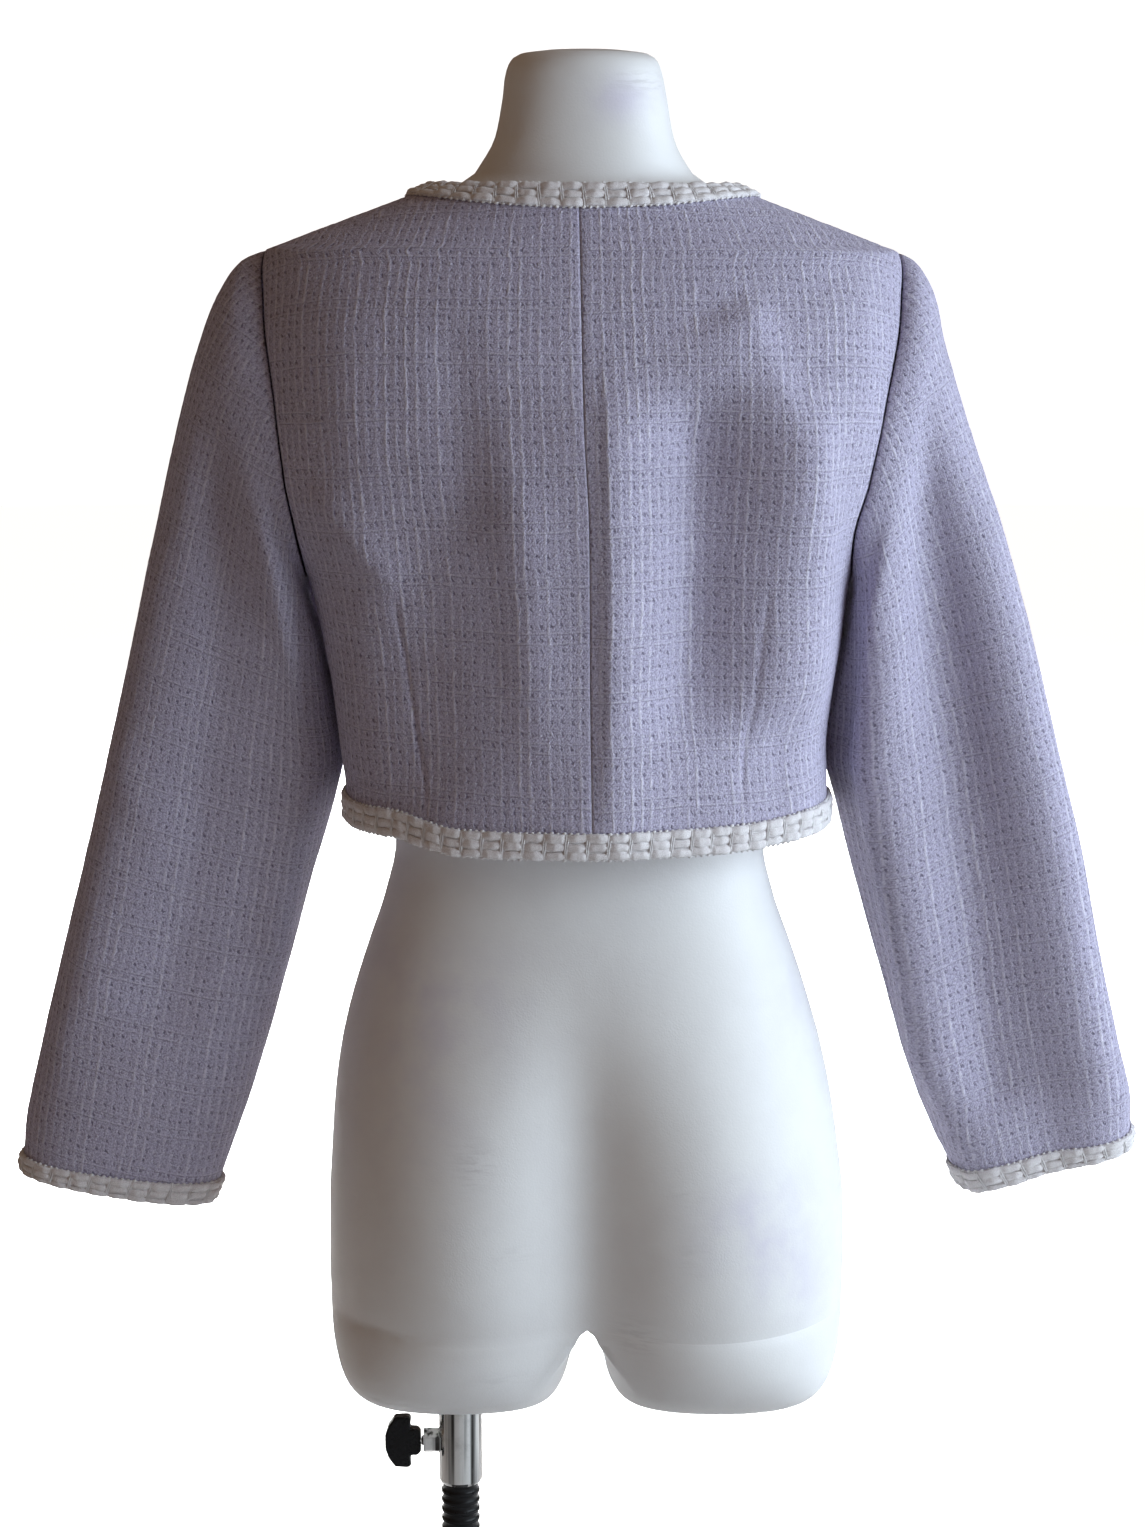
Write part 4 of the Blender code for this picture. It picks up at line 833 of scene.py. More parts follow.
def sleeve_tube(side):
    foot = SLEEVE[side][-1].down
    coarse_down = np.linspace(0.0, foot, COARSE)[:, None]
    coarse_around = np.linspace(-180.0, 180.0, 2 * COARSE + 1)[None, :]
    flat = flat_cut(sleeve(side, coarse_around, coarse_down), COARSE)
    coarser_down, coarser_round = SLEEVE_COARSER
    down = even_levels(lambda d: sleeve(side, np.full_like(d, 60.0), d), 0.0, foot,
                       ROW_PITCH * coarser_down)
    widest = float(np.ptp(flat[..., 0], axis=1).mean())
    columns = INNER_SKIP * round(widest / COLUMN_PITCH / coarser_round / INNER_SKIP)
    share = (np.arange(columns) / columns)[None, :]
    around = -180.0 + 360.0 * share
    rows_at = down / foot * (COARSE - 1) + 0 * share
    columns_at = share * 2 * COARSE + 0 * down
    place = spread(flat, rows_at, columns_at)
    rightward = np.array([SIDES[side], 1.0])
    threads = grain(place * rightward)
    to_seam = np.minimum(share, 1 - share) * widest
    top = np.abs(place[..., 1] - spread(flat, 0 * rows_at, columns_at)[..., 1])
    relief = weave_height(threads) * np.minimum(np.minimum(to_seam, top) / SEAM_PLAIN, 1.0)
    relief = relief - SEAM_ROLL * (0.7 * seam(to_seam) + seam(top))
    outer = sleeve_cloth(side, around, down, relief)
    inner = sleeve_cloth(side, around, down, -WALL)
    past_seam = spread(flat, rows_at[:, :1], np.full_like(rows_at[:, :1], 2.0 * COARSE))
    last_threads = grain(past_seam * rightward)
    if side == "right":
        # the mirrored side runs the other way round, from the same seam
        order = (-np.arange(columns)) % columns
        outer, inner, threads = outer[:, order], inner[:, order], threads[:, order]
        threads[:, :1], last_threads = last_threads, threads[:, :1].copy()
    return cloth_wall("sleeve_" + side, outer, inner, threads, last_threads[:, 0]), flat


# ---- braid: puffed rovings, cross threads, and small stitch loops along both edges ----

STATION = 0.0011         # between sections of a roving
ROVINGS = 3
ROVING_SIDES = 8
ROVING_TIED = 0.0014     # height under a cross thread
ROVING_CROWNS = (0.94, 1.08, 0.94)
ROVING_STRAY = 0.00035
ROVING_FLAT = 0.52       # share of its height at which a roving is widest
BAND_THICKNESS = 0.0016
THREAD_RADIUS = 0.00042
THREAD_SIDES = 5
THREAD_OVER = 0.0002     # past the braid's edges, and off the cloth there
THREAD_RISE = 0.0020     # of a cross thread in the middle of the braid
THREAD_DIP = 0.00025     # between the rovings
THREAD_STRAY = 0.0003
THREAD_PAIR = ((-0.00055, 0.0016), (0.00055, 0.0022))   # each one's offset and slant
STITCH_PITCH = 0.0036
STITCH = (0.00125, 0.00078, 0.00078)   # half sizes of a stitch: along, across, up
STITCH_LEAN = 0.35
STITCH_LIFT = 0.0010
STITCH_STRAY = 0.00018
STITCH_LINES = (-BRAID_OVER - 0.0003, BRAID_WIDTH - BRAID_OVER + 0.0002)


def tube_rings(path, up, radius, sides):
    """Rings of points round a path, whose upward directions are known."""
    way = unit(np.gradient(path, axis=-2))
    side = unit(np.cross(way, up))
    above = np.cross(side, way)
    turn = np.arange(sides)[:, None] * math.tau / sides
    return (path[..., None, :] + radius * (side[..., None, :] * np.cos(turn)
                                           + above[..., None, :] * np.sin(turn)))


def ball_mesh(rings=5, sides=6):
    """Points and faces of a small round stitch, one unit in radius."""
    tilt = (math.pi * np.arange(1, rings) / rings)[:, None]
    turn = math.tau * np.arange(sides) / sides
    parts = np.sin(tilt) * np.cos(turn), np.sin(tilt) * np.sin(turn), np.cos(tilt) + 0 * turn
    points = np.concatenate([[(0, 0, 1)], np.stack(parts, axis=-1).reshape(-1, 3), [(0, 0, -1)]])
    faces = []
    for j in range(sides):
        k = (j + 1) % sides
        foot = 1 + (rings - 2) * sides
        faces.append((0, 1 + j, 1 + k))
        faces += [(a + j, a + sides + j, a + sides + k, a + k) for a in range(1, foot, sides)]
        faces.append((foot + j, len(points) - 1, foot + k))
    return points, faces


def braid(node, place, length, closed=False):
    """A braid along an edge; place gives points by share of length, distance inward and lift."""
    blocks = max(2, round(length / BRAID_BLOCK))
    per_block = max(4, round(length / blocks / STATION))
    stations = blocks * per_block + (0 if closed else 1)
    share = np.arange(stations)[:, None] / (blocks * per_block)
    in_block = share * blocks
    number = np.floor(in_block + 1e-6)
    points, faces = [], []
    count = 0

    def add(grid, closed_along):
        nonlocal count
        rows, columns = grid.shape[:2]
        faces.extend(quads(rows, columns, True, closed_along, start=count).tolist())
        if not closed_along:
            faces.append([count + j for j in range(columns)][::-1])
            faces.append([count + (rows - 1) * columns + j for j in range(columns)])
        points.append(grid.reshape(-1, 3))
        count += rows * columns

    def lengthways(inward, lift):
        inward, lift = inward + 0 * share, lift + 0 * share
        add(place(share + 0 * inward, inward, lift), closed)

    # the woven band that lies under the rovings
    middle, end = BRAID_WIDTH * 0.5 - BRAID_OVER, BRAID_WIDTH - BRAID_OVER
    lengthways(np.array([-BRAID_OVER, -BRAID_OVER, middle, end, end]),
               BRAID_SEAT + BAND_THICKNESS * np.array([0.0, 0.55, 0.95, 0.55, 0.0]))

    pitch = BRAID_WIDTH / ROVINGS
    turn = np.arange(ROVING_SIDES) * math.tau / ROVING_SIDES
    puff = np.abs(np.sin(math.pi * in_block)) ** 0.55
    for k in range(ROVINGS):
        full = (1.0 + 0.10 * np.sin(2.9 * number + 1.7 * k)
                + 0.06 * np.sin(11.0 * in_block + 2.2 * k))
        half = pitch * (0.44 + 0.11 * puff) * full
        height = (ROVING_TIED + (BRAID_FULL - ROVING_TIED) * puff * ROVING_CROWNS[k]) * full
        stray = ROVING_STRAY * np.sin(in_block * 1.9 + 2.0 * k + number)
        lengthways(-BRAID_OVER + pitch * (k + 0.5) + stray + half * np.cos(turn),
                   BRAID_SEAT + height * (ROVING_FLAT + (1 - ROVING_FLAT) * np.sin(turn)))
    roving_faces = len(faces)

    # cross threads, doubled and slanted, one pair at the end of each block
    steps = np.linspace(0.0, 1.0, 11)
    for i in range(0 if closed else 1, blocks):
        for offset, slant in THREAD_PAIR:
            lean = slant * (steps - 0.5) + offset + THREAD_STRAY * math.sin(5.0 * i)
            at = (i / blocks + lean / length) % 1.0
            inward = -BRAID_OVER - THREAD_OVER + (BRAID_WIDTH + 2 * THREAD_OVER) * steps
            rise = BRAID_SEAT + THREAD_RISE * np.sin(math.pi * steps) ** 0.45 + THREAD_OVER
            rise = rise + THREAD_DIP * np.cos(steps * math.tau * ROVINGS)
            path = place(at, inward, rise)
            up = unit(place(at, inward, rise + 0.001) - path)
            add(tube_rings(path, up, THREAD_RADIUS, THREAD_SIDES), False)

    # stitches along both edges
    ball, ball_faces = ball_mesh()
    stitches = max(4, round(length / STITCH_PITCH))
    each = np.arange(stitches)
    at = (each + 0.5) / stitches
    size = 1.0 + 0.16 * np.sin(each * 78.233)
    for edge in STITCH_LINES:
        inward = edge + STITCH_STRAY * np.sin(each * 12.9898)
        low = np.full(stitches, STITCH_LIFT)
        here = place(at, inward, low)
        along = unit(place(np.clip(at + 0.001 / length, 0, 1), inward, low) - here)
        up = unit(place(at, inward, 2 * low) - here)
        cross = np.cross(up, along)
        axes = (along * math.cos(STITCH_LEAN) + cross * math.sin(STITCH_LEAN),
                cross * math.cos(STITCH_LEAN) - along * math.sin(STITCH_LEAN), up)
        grid = here[:, None] + size[:, None, None] * sum(
            ball[:, k:k + 1] * axes[k][:, None] * STITCH[k] for k in range(3))
        for i in range(stitches):
            faces.extend([[count + i * len(ball) + v for v in face] for face in ball_faces])
        points.append(grid.reshape(-1, 3))
        count += stitches * len(ball)

    thing = mesh_piece("braid_" + node[5:], np.concatenate(points), faces, "form", node,
                       ROVING_LOOK)
    thing.data.materials.append(THREAD_LOOK)
    marks = np.zeros(len(thing.data.polygons), dtype=np.int32)
    marks[roving_faces:] = 1
    thing.data.polygons.foreach_set("material_index", marks)
    return thing


def front_end(level):
    """Degrees round to the edge of the front opening."""
    return 180.0 - math.degrees(FRONT_OPENING / 2 / float(smooth(BODICE, "half_width", level)))


def hem_braid():
    end = front_end(BODICE[1].z)
    at, length = even_shares(lambda a: bodice(a, HEM_Z + hem_rise(a, HEM_Z)), (end, -end))

    def place(share, inward, lift):
        angle = at(share)
        return bodice_cloth(angle, HEM_Z + hem_rise(angle, HEM_Z) + inward, lift)
    return braid("trim_hem", place, length)


def neck_braid():
    end = front_end(NECK_Z - FRONT_NECK_DROP)
    at, length = even_shares(lambda a: bodice(a, NECK_Z - neck_drop(a)), (end, -end))

    def place(share, inward, lift):
        return neck_place(np.clip(at(share), -end, end), inward, lift)
    return braid("trim_neck", place, length)


def front_braid(side):
    foot = HEM_Z + BRAID_WIDTH - BRAID_OVER + GAP
    top = NECK_Z - FRONT_NECK_DROP - BRAID_WIDTH + BRAID_OVER - GAP
    length = top - foot

    def place(share, inward, lift):
        x = FRONT_OPENING / 2 + BRAID_OVER + inward
        level = foot + share * length
        from_centre = np.degrees(x / smooth(BODICE, "half_width", level))
        z = level + share * (FRONT_NECK_DROP - neck_drop(180.0 - from_centre))
        return bodice_cloth(SIDES[side] * (180.0 - from_centre), z, lift)
    return braid("trim_front_" + side, place, length)


def cuff_braid(side):
    foot = SLEEVE[side][-1].down
    at, length = even_shares(lambda a: sleeve(side, a, foot), (0.0, 360.0))

    def place(share, inward, lift):
        return sleeve_cloth(side, at(share), foot - np.maximum(inward, 0.0) + 0 * share, lift)
    return braid("trim_cuff_" + side, place, length, closed=True)


# ---- torso form ----

FORM_AROUND = 144
NOTCH_STEPS = 24         # across the inner side of a stub
FORM_PITCH = 0.0050
RING_TOP_Z = 1.196       # up to which the form's rings are evenly spaced
CROWN_LEVELS = (*np.arange(1.1980, 1.2220, 0.0020), *np.arange(1.2222, 1.2240, 0.0003), 1.2240)
CROWN_SHARES = (0.72, 0.44, 0.18)    # of the last ring's radius, up to the middle
STUB_RINGS = 34
STUB_POWER = 1.5
CAP_RINGS = 8
BORE_RING = 0.010        # up the bore to its first ring

# Faint marks on the form: where, as seen from behind or before, how large, how strong
MARK_COLUMNS = "x z width height strength"
MARKS = {"lilac": tables(MARK_COLUMNS, """back
-.020 1.196 .020 .012 .60
 .085  .690 .045 .030 .35
 .100  .640 .030 .050 .25
-.100  .560 .030 .028 .60
-.120  .520 .020 .020 .40
-.125  .690 .015 .040 .22
front
 .06 .66 .04 .04 .25
-.08 .59 .03 .03 .30
"""), "grey": tables(MARK_COLUMNS, """back
 .042  .545 .010 .005 .16
 .064  .600 .010 .012 .35
-.056  .583 .010 .006 .15
-.060  .545 .004 .010 .20
 .050  .463 .016 .005 .14
-.030  .490 .012 .010 .30
-.030 1.205 .014 .006 .35
front
-.04 .56 .016 .010 .40
 .07 .52 .010 .016 .35
""")}


def stub_rows():
    """Rows of a stub from the notch down, between the rows of its table."""
    run = np.linspace(0.0, 1.0, STUB_RINGS + 1)[1:]
    depth = STUB[0].z - STUB[-1].z
    rows = between(STUB[::-1], STUB[0].z - depth * (1 - (1 - run) ** STUB_POWER))
    return [rows._make(row) for row in np.transpose(rows).tolist()]


def mark_values(marks, points):
    """How strongly the marks show at points."""
    x, y, z = points.T
    total = np.zeros(len(points))
    for face in marks:
        for mark in marks[face]:
            spot = np.exp(-((x - mark.x) / mark.width) ** 2 - ((z - mark.z) / mark.height) ** 2)
            total += np.where((y >= 0) == (face == "back"), mark.strength * spot, 0.0)
    return total


def torso_form():
    """Torso and neck as fine rings, with two stubs; the +X one has the bore for the tube."""
    angles = np.arange(FORM_AROUND) * 360.0 / FORM_AROUND
    rings = round((RING_TOP_Z - NOTCH_TOP_Z) / FORM_PITCH) + 1
    levels = (*np.linspace(NOTCH_TOP_Z, RING_TOP_Z, rings), *CROWN_LEVELS)
    points, faces = [], []

    def add(ring):
        start = len(points)
        points.extend(np.asarray(ring).tolist())
        return list(range(start, start + len(ring)))

    def band(low, high):
        faces.extend(zip(low, low[1:] + low[:1], high[1:] + high[:1], high))

    def rise(low, ring):
        high = add(ring)
        band(low, high)
        return high

    def hang(high, ring):
        low = add(ring)
        band(low, high)
        return low

    def places(numbers):
        return np.array([points[i] for i in numbers])

    lowest = below = add(form_section(angles, np.full(FORM_AROUND, levels[0])))
    for z in levels[1:]:
        below = rise(below, form_section(angles, np.full(FORM_AROUND, z)))
    crown = np.array([FORM[-1].shift, 0.0, NECK_CROWN_Z])
    for share in CROWN_SHARES:
        below = rise(below, crown + (places(below) - crown) * share)
    top = add([crown])[0]
    faces.extend((i, k, top) for i, k in zip(below, below[1:] + below[:1]))

    half = FORM_AROUND // 2
    front_y, back_y = points[lowest[half]][1], points[lowest[0]][1]
    across = np.linspace(front_y, back_y, NOTCH_STEPS + 1)[1:-1]
    middle = add([(0.0, y, NOTCH_TOP_Z) for y in across])
    edge = FORM[0].half_width
    plus = lowest[:half + 1] + middle
    minus = [lowest[0]] + lowest[:half - 1:-1] + middle
    for above, mirror in ((plus, 1.0), (minus, -1.0)):
        for row in stub_rows():
            above = hang(above, stub_ring(row, edge) * np.array([mirror, 1.0, 1.0]))
        rim = places(above)
        bored = mirror > 0
        centre = np.array([POLE_X, 0.0, STUB[-1].z]) if bored else rim.mean(axis=0)
        turn = np.arctan2(rim[:, 1] - centre[1], rim[:, 0] - centre[0])
        out = np.stack([np.cos(turn), np.sin(turn), 0 * turn], axis=-1)
        goal = centre + (COLLAR_RADIUS + GAP) * out if bored else centre
        for share in np.arange(1, CAP_RINGS + bored) / CAP_RINGS:
            above = hang(above, rim + (goal - rim) * share)
        if bored:
            for z in (STUB[-1].z + BORE_RING, COLLAR_TOP_Z + GAP):
                above = hang(above, goal * (1, 1, 0) + (0, 0, z))
        last = add([places(above).mean(axis=0)])[0]
        faces.extend((k, i, last) for i, k in zip(above, above[1:] + above[:1]))
    points = np.array(points)
    thing = mesh_piece("torso_form", points, faces, "form", "dress_form", FORM_LOOK, sharp=60)
    for name, marks in MARKS.items():
        layer = thing.data.attributes.new(name, "FLOAT", "POINT")
        layer.data.foreach_set("value", mark_values(marks, points).astype(np.float32))
    return thing


# ---- rod ----

RIB_PITCH = 0.0060
RIB_DEPTH = 0.0009
# One rib: along it, and its height as a share
RIB = ((0.0, 1.0), (0.16, 1.0), (0.26, 0.35), (0.42, 0.0), (0.70, 0.0), (0.84, 0.35), (0.94, 1.0))
POLE_SIDES = 48
RIBS_START = 0.006       # above the base's boss, with a smooth end below them


def ribbed_rod():
    """The black sleeve of the rod, with a rib every few millimetres, closed at its ends."""
    z = BOSS_TOP_Z + RIBS_START
    profile = [(POLE_RADIUS, SOCKET_FLOOR_Z + GAP), (POLE_RADIUS, z - 0.002)]
    while z < POLE_TOP_Z - RIB_PITCH:
        profile += [(POLE_RADIUS - RIB_DEPTH * (1 - high), z + along * RIB_PITCH)
                    for along, high in RIB]
        z += RIB_PITCH
    profile += [(POLE_RADIUS, POLE_TOP_Z - POLE_RIM), (POLE_RADIUS - POLE_RIM, POLE_TOP_Z)]
    radius, z = np.array(profile).T[..., None]
    turn = np.arange(POLE_SIDES) * math.tau / POLE_SIDES
    grid = np.stack([POLE_X + radius * np.cos(turn), radius * np.sin(turn), z + 0 * turn], axis=-1)
    faces = quads(len(profile), POLE_SIDES, True).tolist()
    faces.append(list(range(POLE_SIDES))[::-1])
    faces.append([(len(profile) - 1) * POLE_SIDES + j for j in range(POLE_SIDES)])
    mesh_piece("ribbed_rod", grid, faces, "stand", "pole", ROD_LOOK, sharp=40)


# ---- looks ----

class Field:
    """What a material's node gives at each point; sums and products of fields are fields too."""

    def __init__(self, net, socket):
        self.net, self.socket = net, socket

    def math(self, operation, *others):
        inputs = dict(enumerate((self, *others)))
        return self.net.node("ShaderNodeMath", inputs, operation=operation)

    def __add__(self, other):
        return self.math("ADD", other)

    def __sub__(self, other):
        return self.math("SUBTRACT", other)

    def __mul__(self, other):
        return self.math("MULTIPLY", other)

    def __truediv__(self, other):
        return self.math("DIVIDE", other)

    def larger(self, other):
        return self.math("MAXIMUM", other)

    def ramp(self, low, high, to_low=0.0, to_high=1.0):
        inputs = dict(enumerate((self, low, high, to_low, to_high)))
        return self.net.node("ShaderNodeMapRange", inputs, interpolation_type="SMOOTHSTEP")

    def near_line(self, period, inner, outer):
        """One near each whole period of a number, nothing away from it."""
        part = (self / period + 0.5).math("FRACT") - 0.5
        return (part.math("ABSOLUTE") * period).ramp(inner, outer, 1.0, 0.0)


class Net:
    """The nodes of one material."""

    def __init__(self, name, roughness, **settings):
        self.material = bpy.data.materials.new(name)
        self.material.use_nodes = True
        self.tree = self.material.node_tree
        self.shader = self.tree.nodes["Principled BSDF"].inputs
        for key, value in {"Roughness": roughness, **settings}.items():
            self.put(self.shader[key.replace("_", " ")], value)

    def put(self, socket, value):
        if isinstance(value, Field):
            self.tree.links.new(value.socket, socket)
        else:
            socket.default_value = (*value, 1.0) if socket.type == "RGBA" else value

    def node(self, kind, inputs=(), output=0, **settings):
        made = self.tree.nodes.new(kind)
        for key, value in settings.items():
            setattr(made, key, value)
        for key, value in dict(inputs).items():
            self.put(made.inputs[key], value)
        return Field(self, made.outputs[output])

    def noise(self, vector, scale=1.0, detail=2.0, roughness=0.5):
        return self.node("ShaderNodeTexNoise", {"Vector": vector, "Scale": scale, "Detail": detail,
                                                "Roughness": roughness})

    def blend(self, share, one, other):
        return self.node("ShaderNodeMix", {0: share, 6: one, 7: other}, 2, data_type="RGBA")

    def stretch(self, vector, scale, location=(0.0, 0.0, 0.0)):
        return self.node("ShaderNodeMapping", {"Vector": vector, "Location": location,
                                               "Scale": scale})

    def place(self, x, y):
        return self.node("ShaderNodeCombineXYZ", {0: x, 1: y})

    def in_object(self):
        return self.node("ShaderNodeTexCoord", output="Object")

    def odds(self, x, y):
        """A random number for each pair of whole numbers."""
        return self.node("ShaderNodeTexWhiteNoise", {"Vector": self.place(x, y)},
                         noise_dimensions="2D")

    def slanted_spot(self, x, y, half_width, half_length):
        """One in the middle of a spot that leans to the right as it goes down."""
        across = (x * LEAN_COS + y * -LEAN_SIN) / half_width
        along = (x * LEAN_SIN + y * LEAN_COS) / half_length
        far = self.node("ShaderNodeVectorMath", {0: self.place(across, along)}, "Value",
                        operation="LENGTH")
        return far.ramp(0.45, 1.25, 1.0, 0.0)

    def finish(self, colour, height, distance, roughness=None):
        self.put(self.shader["Base Color"], colour)
        if roughness:
            self.put(self.shader["Roughness"], roughness)
        self.put(self.shader["Normal"], self.node("ShaderNodeBump", {
            "Height": height, "Distance": distance, "Strength": 1.0}))
        return self.material


LILAC = (0.485, 0.448, 0.638)
# deep lilac of the darker yarns, also used as painted shade in the weave's hollows and as the
# painted shadow under its light threads across
LILAC_DARK_AND_SHADE = (0.160, 0.140, 0.215)
YARN_LIGHT = (0.800, 0.775, 0.900)
# painted reflections of the chrome: the colours of its dark and bright streaks
CHROME_PAINTED_DARK_REFLECTION = (0.045, 0.042, 0.040)
CHROME_PAINTED_HIGHLIGHT = (0.78, 0.78, 0.77)
CHROME_DULL = (0.25, 0.24, 0.23)


def scaled(colour, by, plus=0.0):
    return tuple(c * by + plus for c in colour)


def tweed_look():
    net = Net("tweed", 0.92, Specular_IOR_Level=0.25, Sheen_Weight=0.15, Sheen_Roughness=0.55,
              Sheen_Tint=(0.86, 0.84, 1.0))
    uv = net.node("ShaderNodeUVMap", uv_map="threads")
    mm = net.node("ShaderNodeVectorMath", {0: uv, 1: (UV_SCALE,) * 3}, operation="MULTIPLY")
    u, v = (net.node("ShaderNodeSeparateXYZ", {0: mm}, k) for k in (0, 1))
    # no yarn lies dead straight
    u = (net.noise(net.stretch(mm, (0.16, 0.22, 1.0))) - 0.5) * 1.5 + u

    # slubby light yarns down the cloth, some strong and some hardly there
    yarn = (u / WARP + 0.5).math("FLOOR")
    strong = net.odds(yarn, 3.0).ramp(0.10, 0.95, 0.25, 1.0)
    slub = net.noise(net.place(yarn * 7.31, v / 6.5), 1.0, 3.0, 0.65).ramp(0.36, 0.64, 0.10, 1.0)
    light = u.near_line(WARP, 0.20, 1.15) * (slub * strong)

    # small slanted hollows beside them in rows, dark as real holes in the weave and with painted
    # shade, a light knot above each, and a fainter row between
    cell = (u / WARP).math("FLOOR")
    x = (u / WARP).math("FRACT") * WARP - HOLLOW_ACROSS
    row = (v / PICK + 0.5).math("FLOOR")
    y = row * -PICK + v
    luck = net.odds(cell, row)
    ragged = net.noise(mm, 0.9) - 0.5
    x_here = (luck - 0.5) * 1.2 + x + ragged * 2.4
    y_here = (net.odds(row, cell) - 0.5) * 2.2 + y + ragged * -1.8
    hollow = net.slanted_spot(x_here, y_here, *HOLLOW_SIZE) * luck.ramp(0.0, 0.7, 0.30, 1.0)
    knot = net.slanted_spot(x_here + 1.5, y_here + 0.5, 0.9, 0.9)
    y_between = (y.math("ABSOLUTE") - PICK / 2) * y.math("SIGN")
    between_rows = (net.slanted_spot(x, y_between, 0.65, 1.2)
                    * net.odds(cell + 0.5, row).ramp(0.2, 1.0, 0.0, 0.6))
    second = net.slanted_spot(x - 1.9, y, 0.50, 0.9) * luck.ramp(0.4, 1.0, 0.45, 0.0)
    shaded_hollows = hollow.larger(between_rows.larger(second))

    # pairs of light threads across, each with a thin shadow
    broken = net.noise(mm, 0.30).ramp(0.36, 0.62, 0.10, 1.0)

    def pair(below, inner, outer):
        one, other = ((v - (line + below)).near_line(BAND, inner, outer) for line in BAND_LINES)
        return one.larger(other) * broken
    band, shade = pair(0.0, 0.15, 0.75), pair(0.9, 0.10, 0.60)

    # fine slanted yarns, and fibres
    twill = (u * (math.tau / 1.9) + v * (-math.tau / 2.2)).math("SINE")
    fine = twill * (v * (math.tau / 1.1)).math("SINE")
    fibre = net.noise(mm, 1.5, 5.0, 0.75)
    strand = net.noise(net.stretch(mm, (0.95, 0.60, 1.0)), 1.0, 2.0, 0.60)
    laid = net.noise(net.stretch(mm, (0.42, 1.05, 1.0)), 1.0, 2.0, 0.60)
    patch = net.noise(mm, 0.030, 3.0, 0.6)

    colour = net.blend(patch.ramp(0.35, 0.65), scaled(LILAC, 0.96), scaled(LILAC, 1.05))
    for share, other in (
            (fibre.ramp(0.34, 0.66, 0.0, 0.40), YARN_LIGHT),
            (fibre.ramp(0.50, 0.28, 0.0, 0.30), LILAC_DARK_AND_SHADE),
            (strand.ramp(0.50, 0.66, 0.0, 0.50), YARN_LIGHT),
            (laid.ramp(0.52, 0.68, 0.0, 0.30), YARN_LIGHT),
            (strand.ramp(0.50, 0.34, 0.0, 0.42), LILAC_DARK_AND_SHADE),
            (laid.ramp(0.48, 0.34, 0.0, 0.34), LILAC_DARK_AND_SHADE),
            ((light * 0.92).larger(knot * 0.62).larger(band * 0.45), YARN_LIGHT),
            # painted shade in the hollows, and the painted shadow under the light threads across
            (shaded_hollows.larger(shade * 0.60) * 0.74, LILAC_DARK_AND_SHADE),
            (fine.ramp(-1.0, 1.0, 0.14, 0.0), LILAC_DARK_AND_SHADE)):
        colour = net.blend(share, colour, other)
    height = (light * 0.50 + band * 0.40 + knot * 0.60 + shaded_hollows * -0.60 + fine * 0.14
              + fibre * 0.55 + strand * 1.30 + laid * 0.90)
    return net.finish(colour, height, 0.00062)


def wool_look(name, pale, deep, fibre_scale):
    """Pale yarn with fine twisted fibres."""
    net = Net(name, 0.95, Specular_IOR_Level=0.20, Sheen_Weight=0.25, Sheen_Roughness=0.6)
    at = net.in_object()
    fibre = net.noise(at, fibre_scale, 4.0, 0.7)
    colour = net.blend(fibre.ramp(0.30, 0.70), deep, pale)
    colour = net.blend(net.noise(at, 90.0).ramp(0.40, 0.75, 0.0, 0.35), colour, deep)
    return net.finish(colour, fibre, 0.0005)


def form_look():
    net = Net("matt_white", 0.50, Specular_IOR_Level=0.35)
    at = net.in_object()
    cloudy = net.noise(at, 26.0, 4.0, 0.6)
    streak = net.noise(net.stretch(at, (60.0, 60.0, 420.0)), 1.0, 3.0, 0.65)
    lilac, grey = (net.node("ShaderNodeAttribute", output="Fac", attribute_name=name)
                   for name in MARKS)
    colour = net.blend(cloudy.ramp(0.35, 0.70, 0.0, 0.5), (0.83, 0.83, 0.835), (0.78, 0.775, 0.785))
    colour = net.blend(lilac * cloudy.ramp(0.34, 0.66, 0.15, 1.0), colour, (0.66, 0.62, 0.78))
    colour = net.blend(grey * streak.ramp(0.42, 0.64), colour, (0.46, 0.44, 0.45))
    return net.finish(colour, net.noise(at, 900.0) * 0.4 + cloudy, 0.00025,
                      streak.ramp(0.30, 0.75, 0.42, 0.60))


def black_look(name, colour, roughness, rough_to, scale, depth, specular):
    """Plastic or paint with a faintly uneven polish."""
    net = Net(name, roughness, Specular_IOR_Level=specular)
    smear = net.noise(net.in_object(), scale, 4.0, 0.65)
    colour = net.blend(smear.ramp(0.45, 0.80, 0.0, 0.6), colour, scaled(colour, 0.82, 0.004))
    return net.finish(colour, smear, depth, smear.ramp(0.30, 0.75, roughness, rough_to))


def chrome_look():
    """Plating with painted reflections in light and dark streaks along the tube, and dull worn
    smears.
    """
    net = Net("chrome", 0.14, Metallic=1.0)
    at = net.in_object()
    streak = net.noise(net.stretch(at, (210.0, 210.0, 5.0), (0.03, 0.0, 0.0)))
    smear = net.noise(at, 60.0, 4.0, 0.65)
    # painted reflections: dark and bright streaks round the tube stand in for what the plating
    # reflects
    colour = net.blend(streak.ramp(0.40, 0.60), CHROME_PAINTED_DARK_REFLECTION, CHROME_PAINTED_HIGHLIGHT)
    colour = net.blend(smear.ramp(0.50, 0.85, 0.0, 0.5), colour, CHROME_DULL)
    return net.finish(colour, smear, 0.00002, smear.ramp(0.30, 0.75, 0.10, 0.22))


# ---- all of it ----

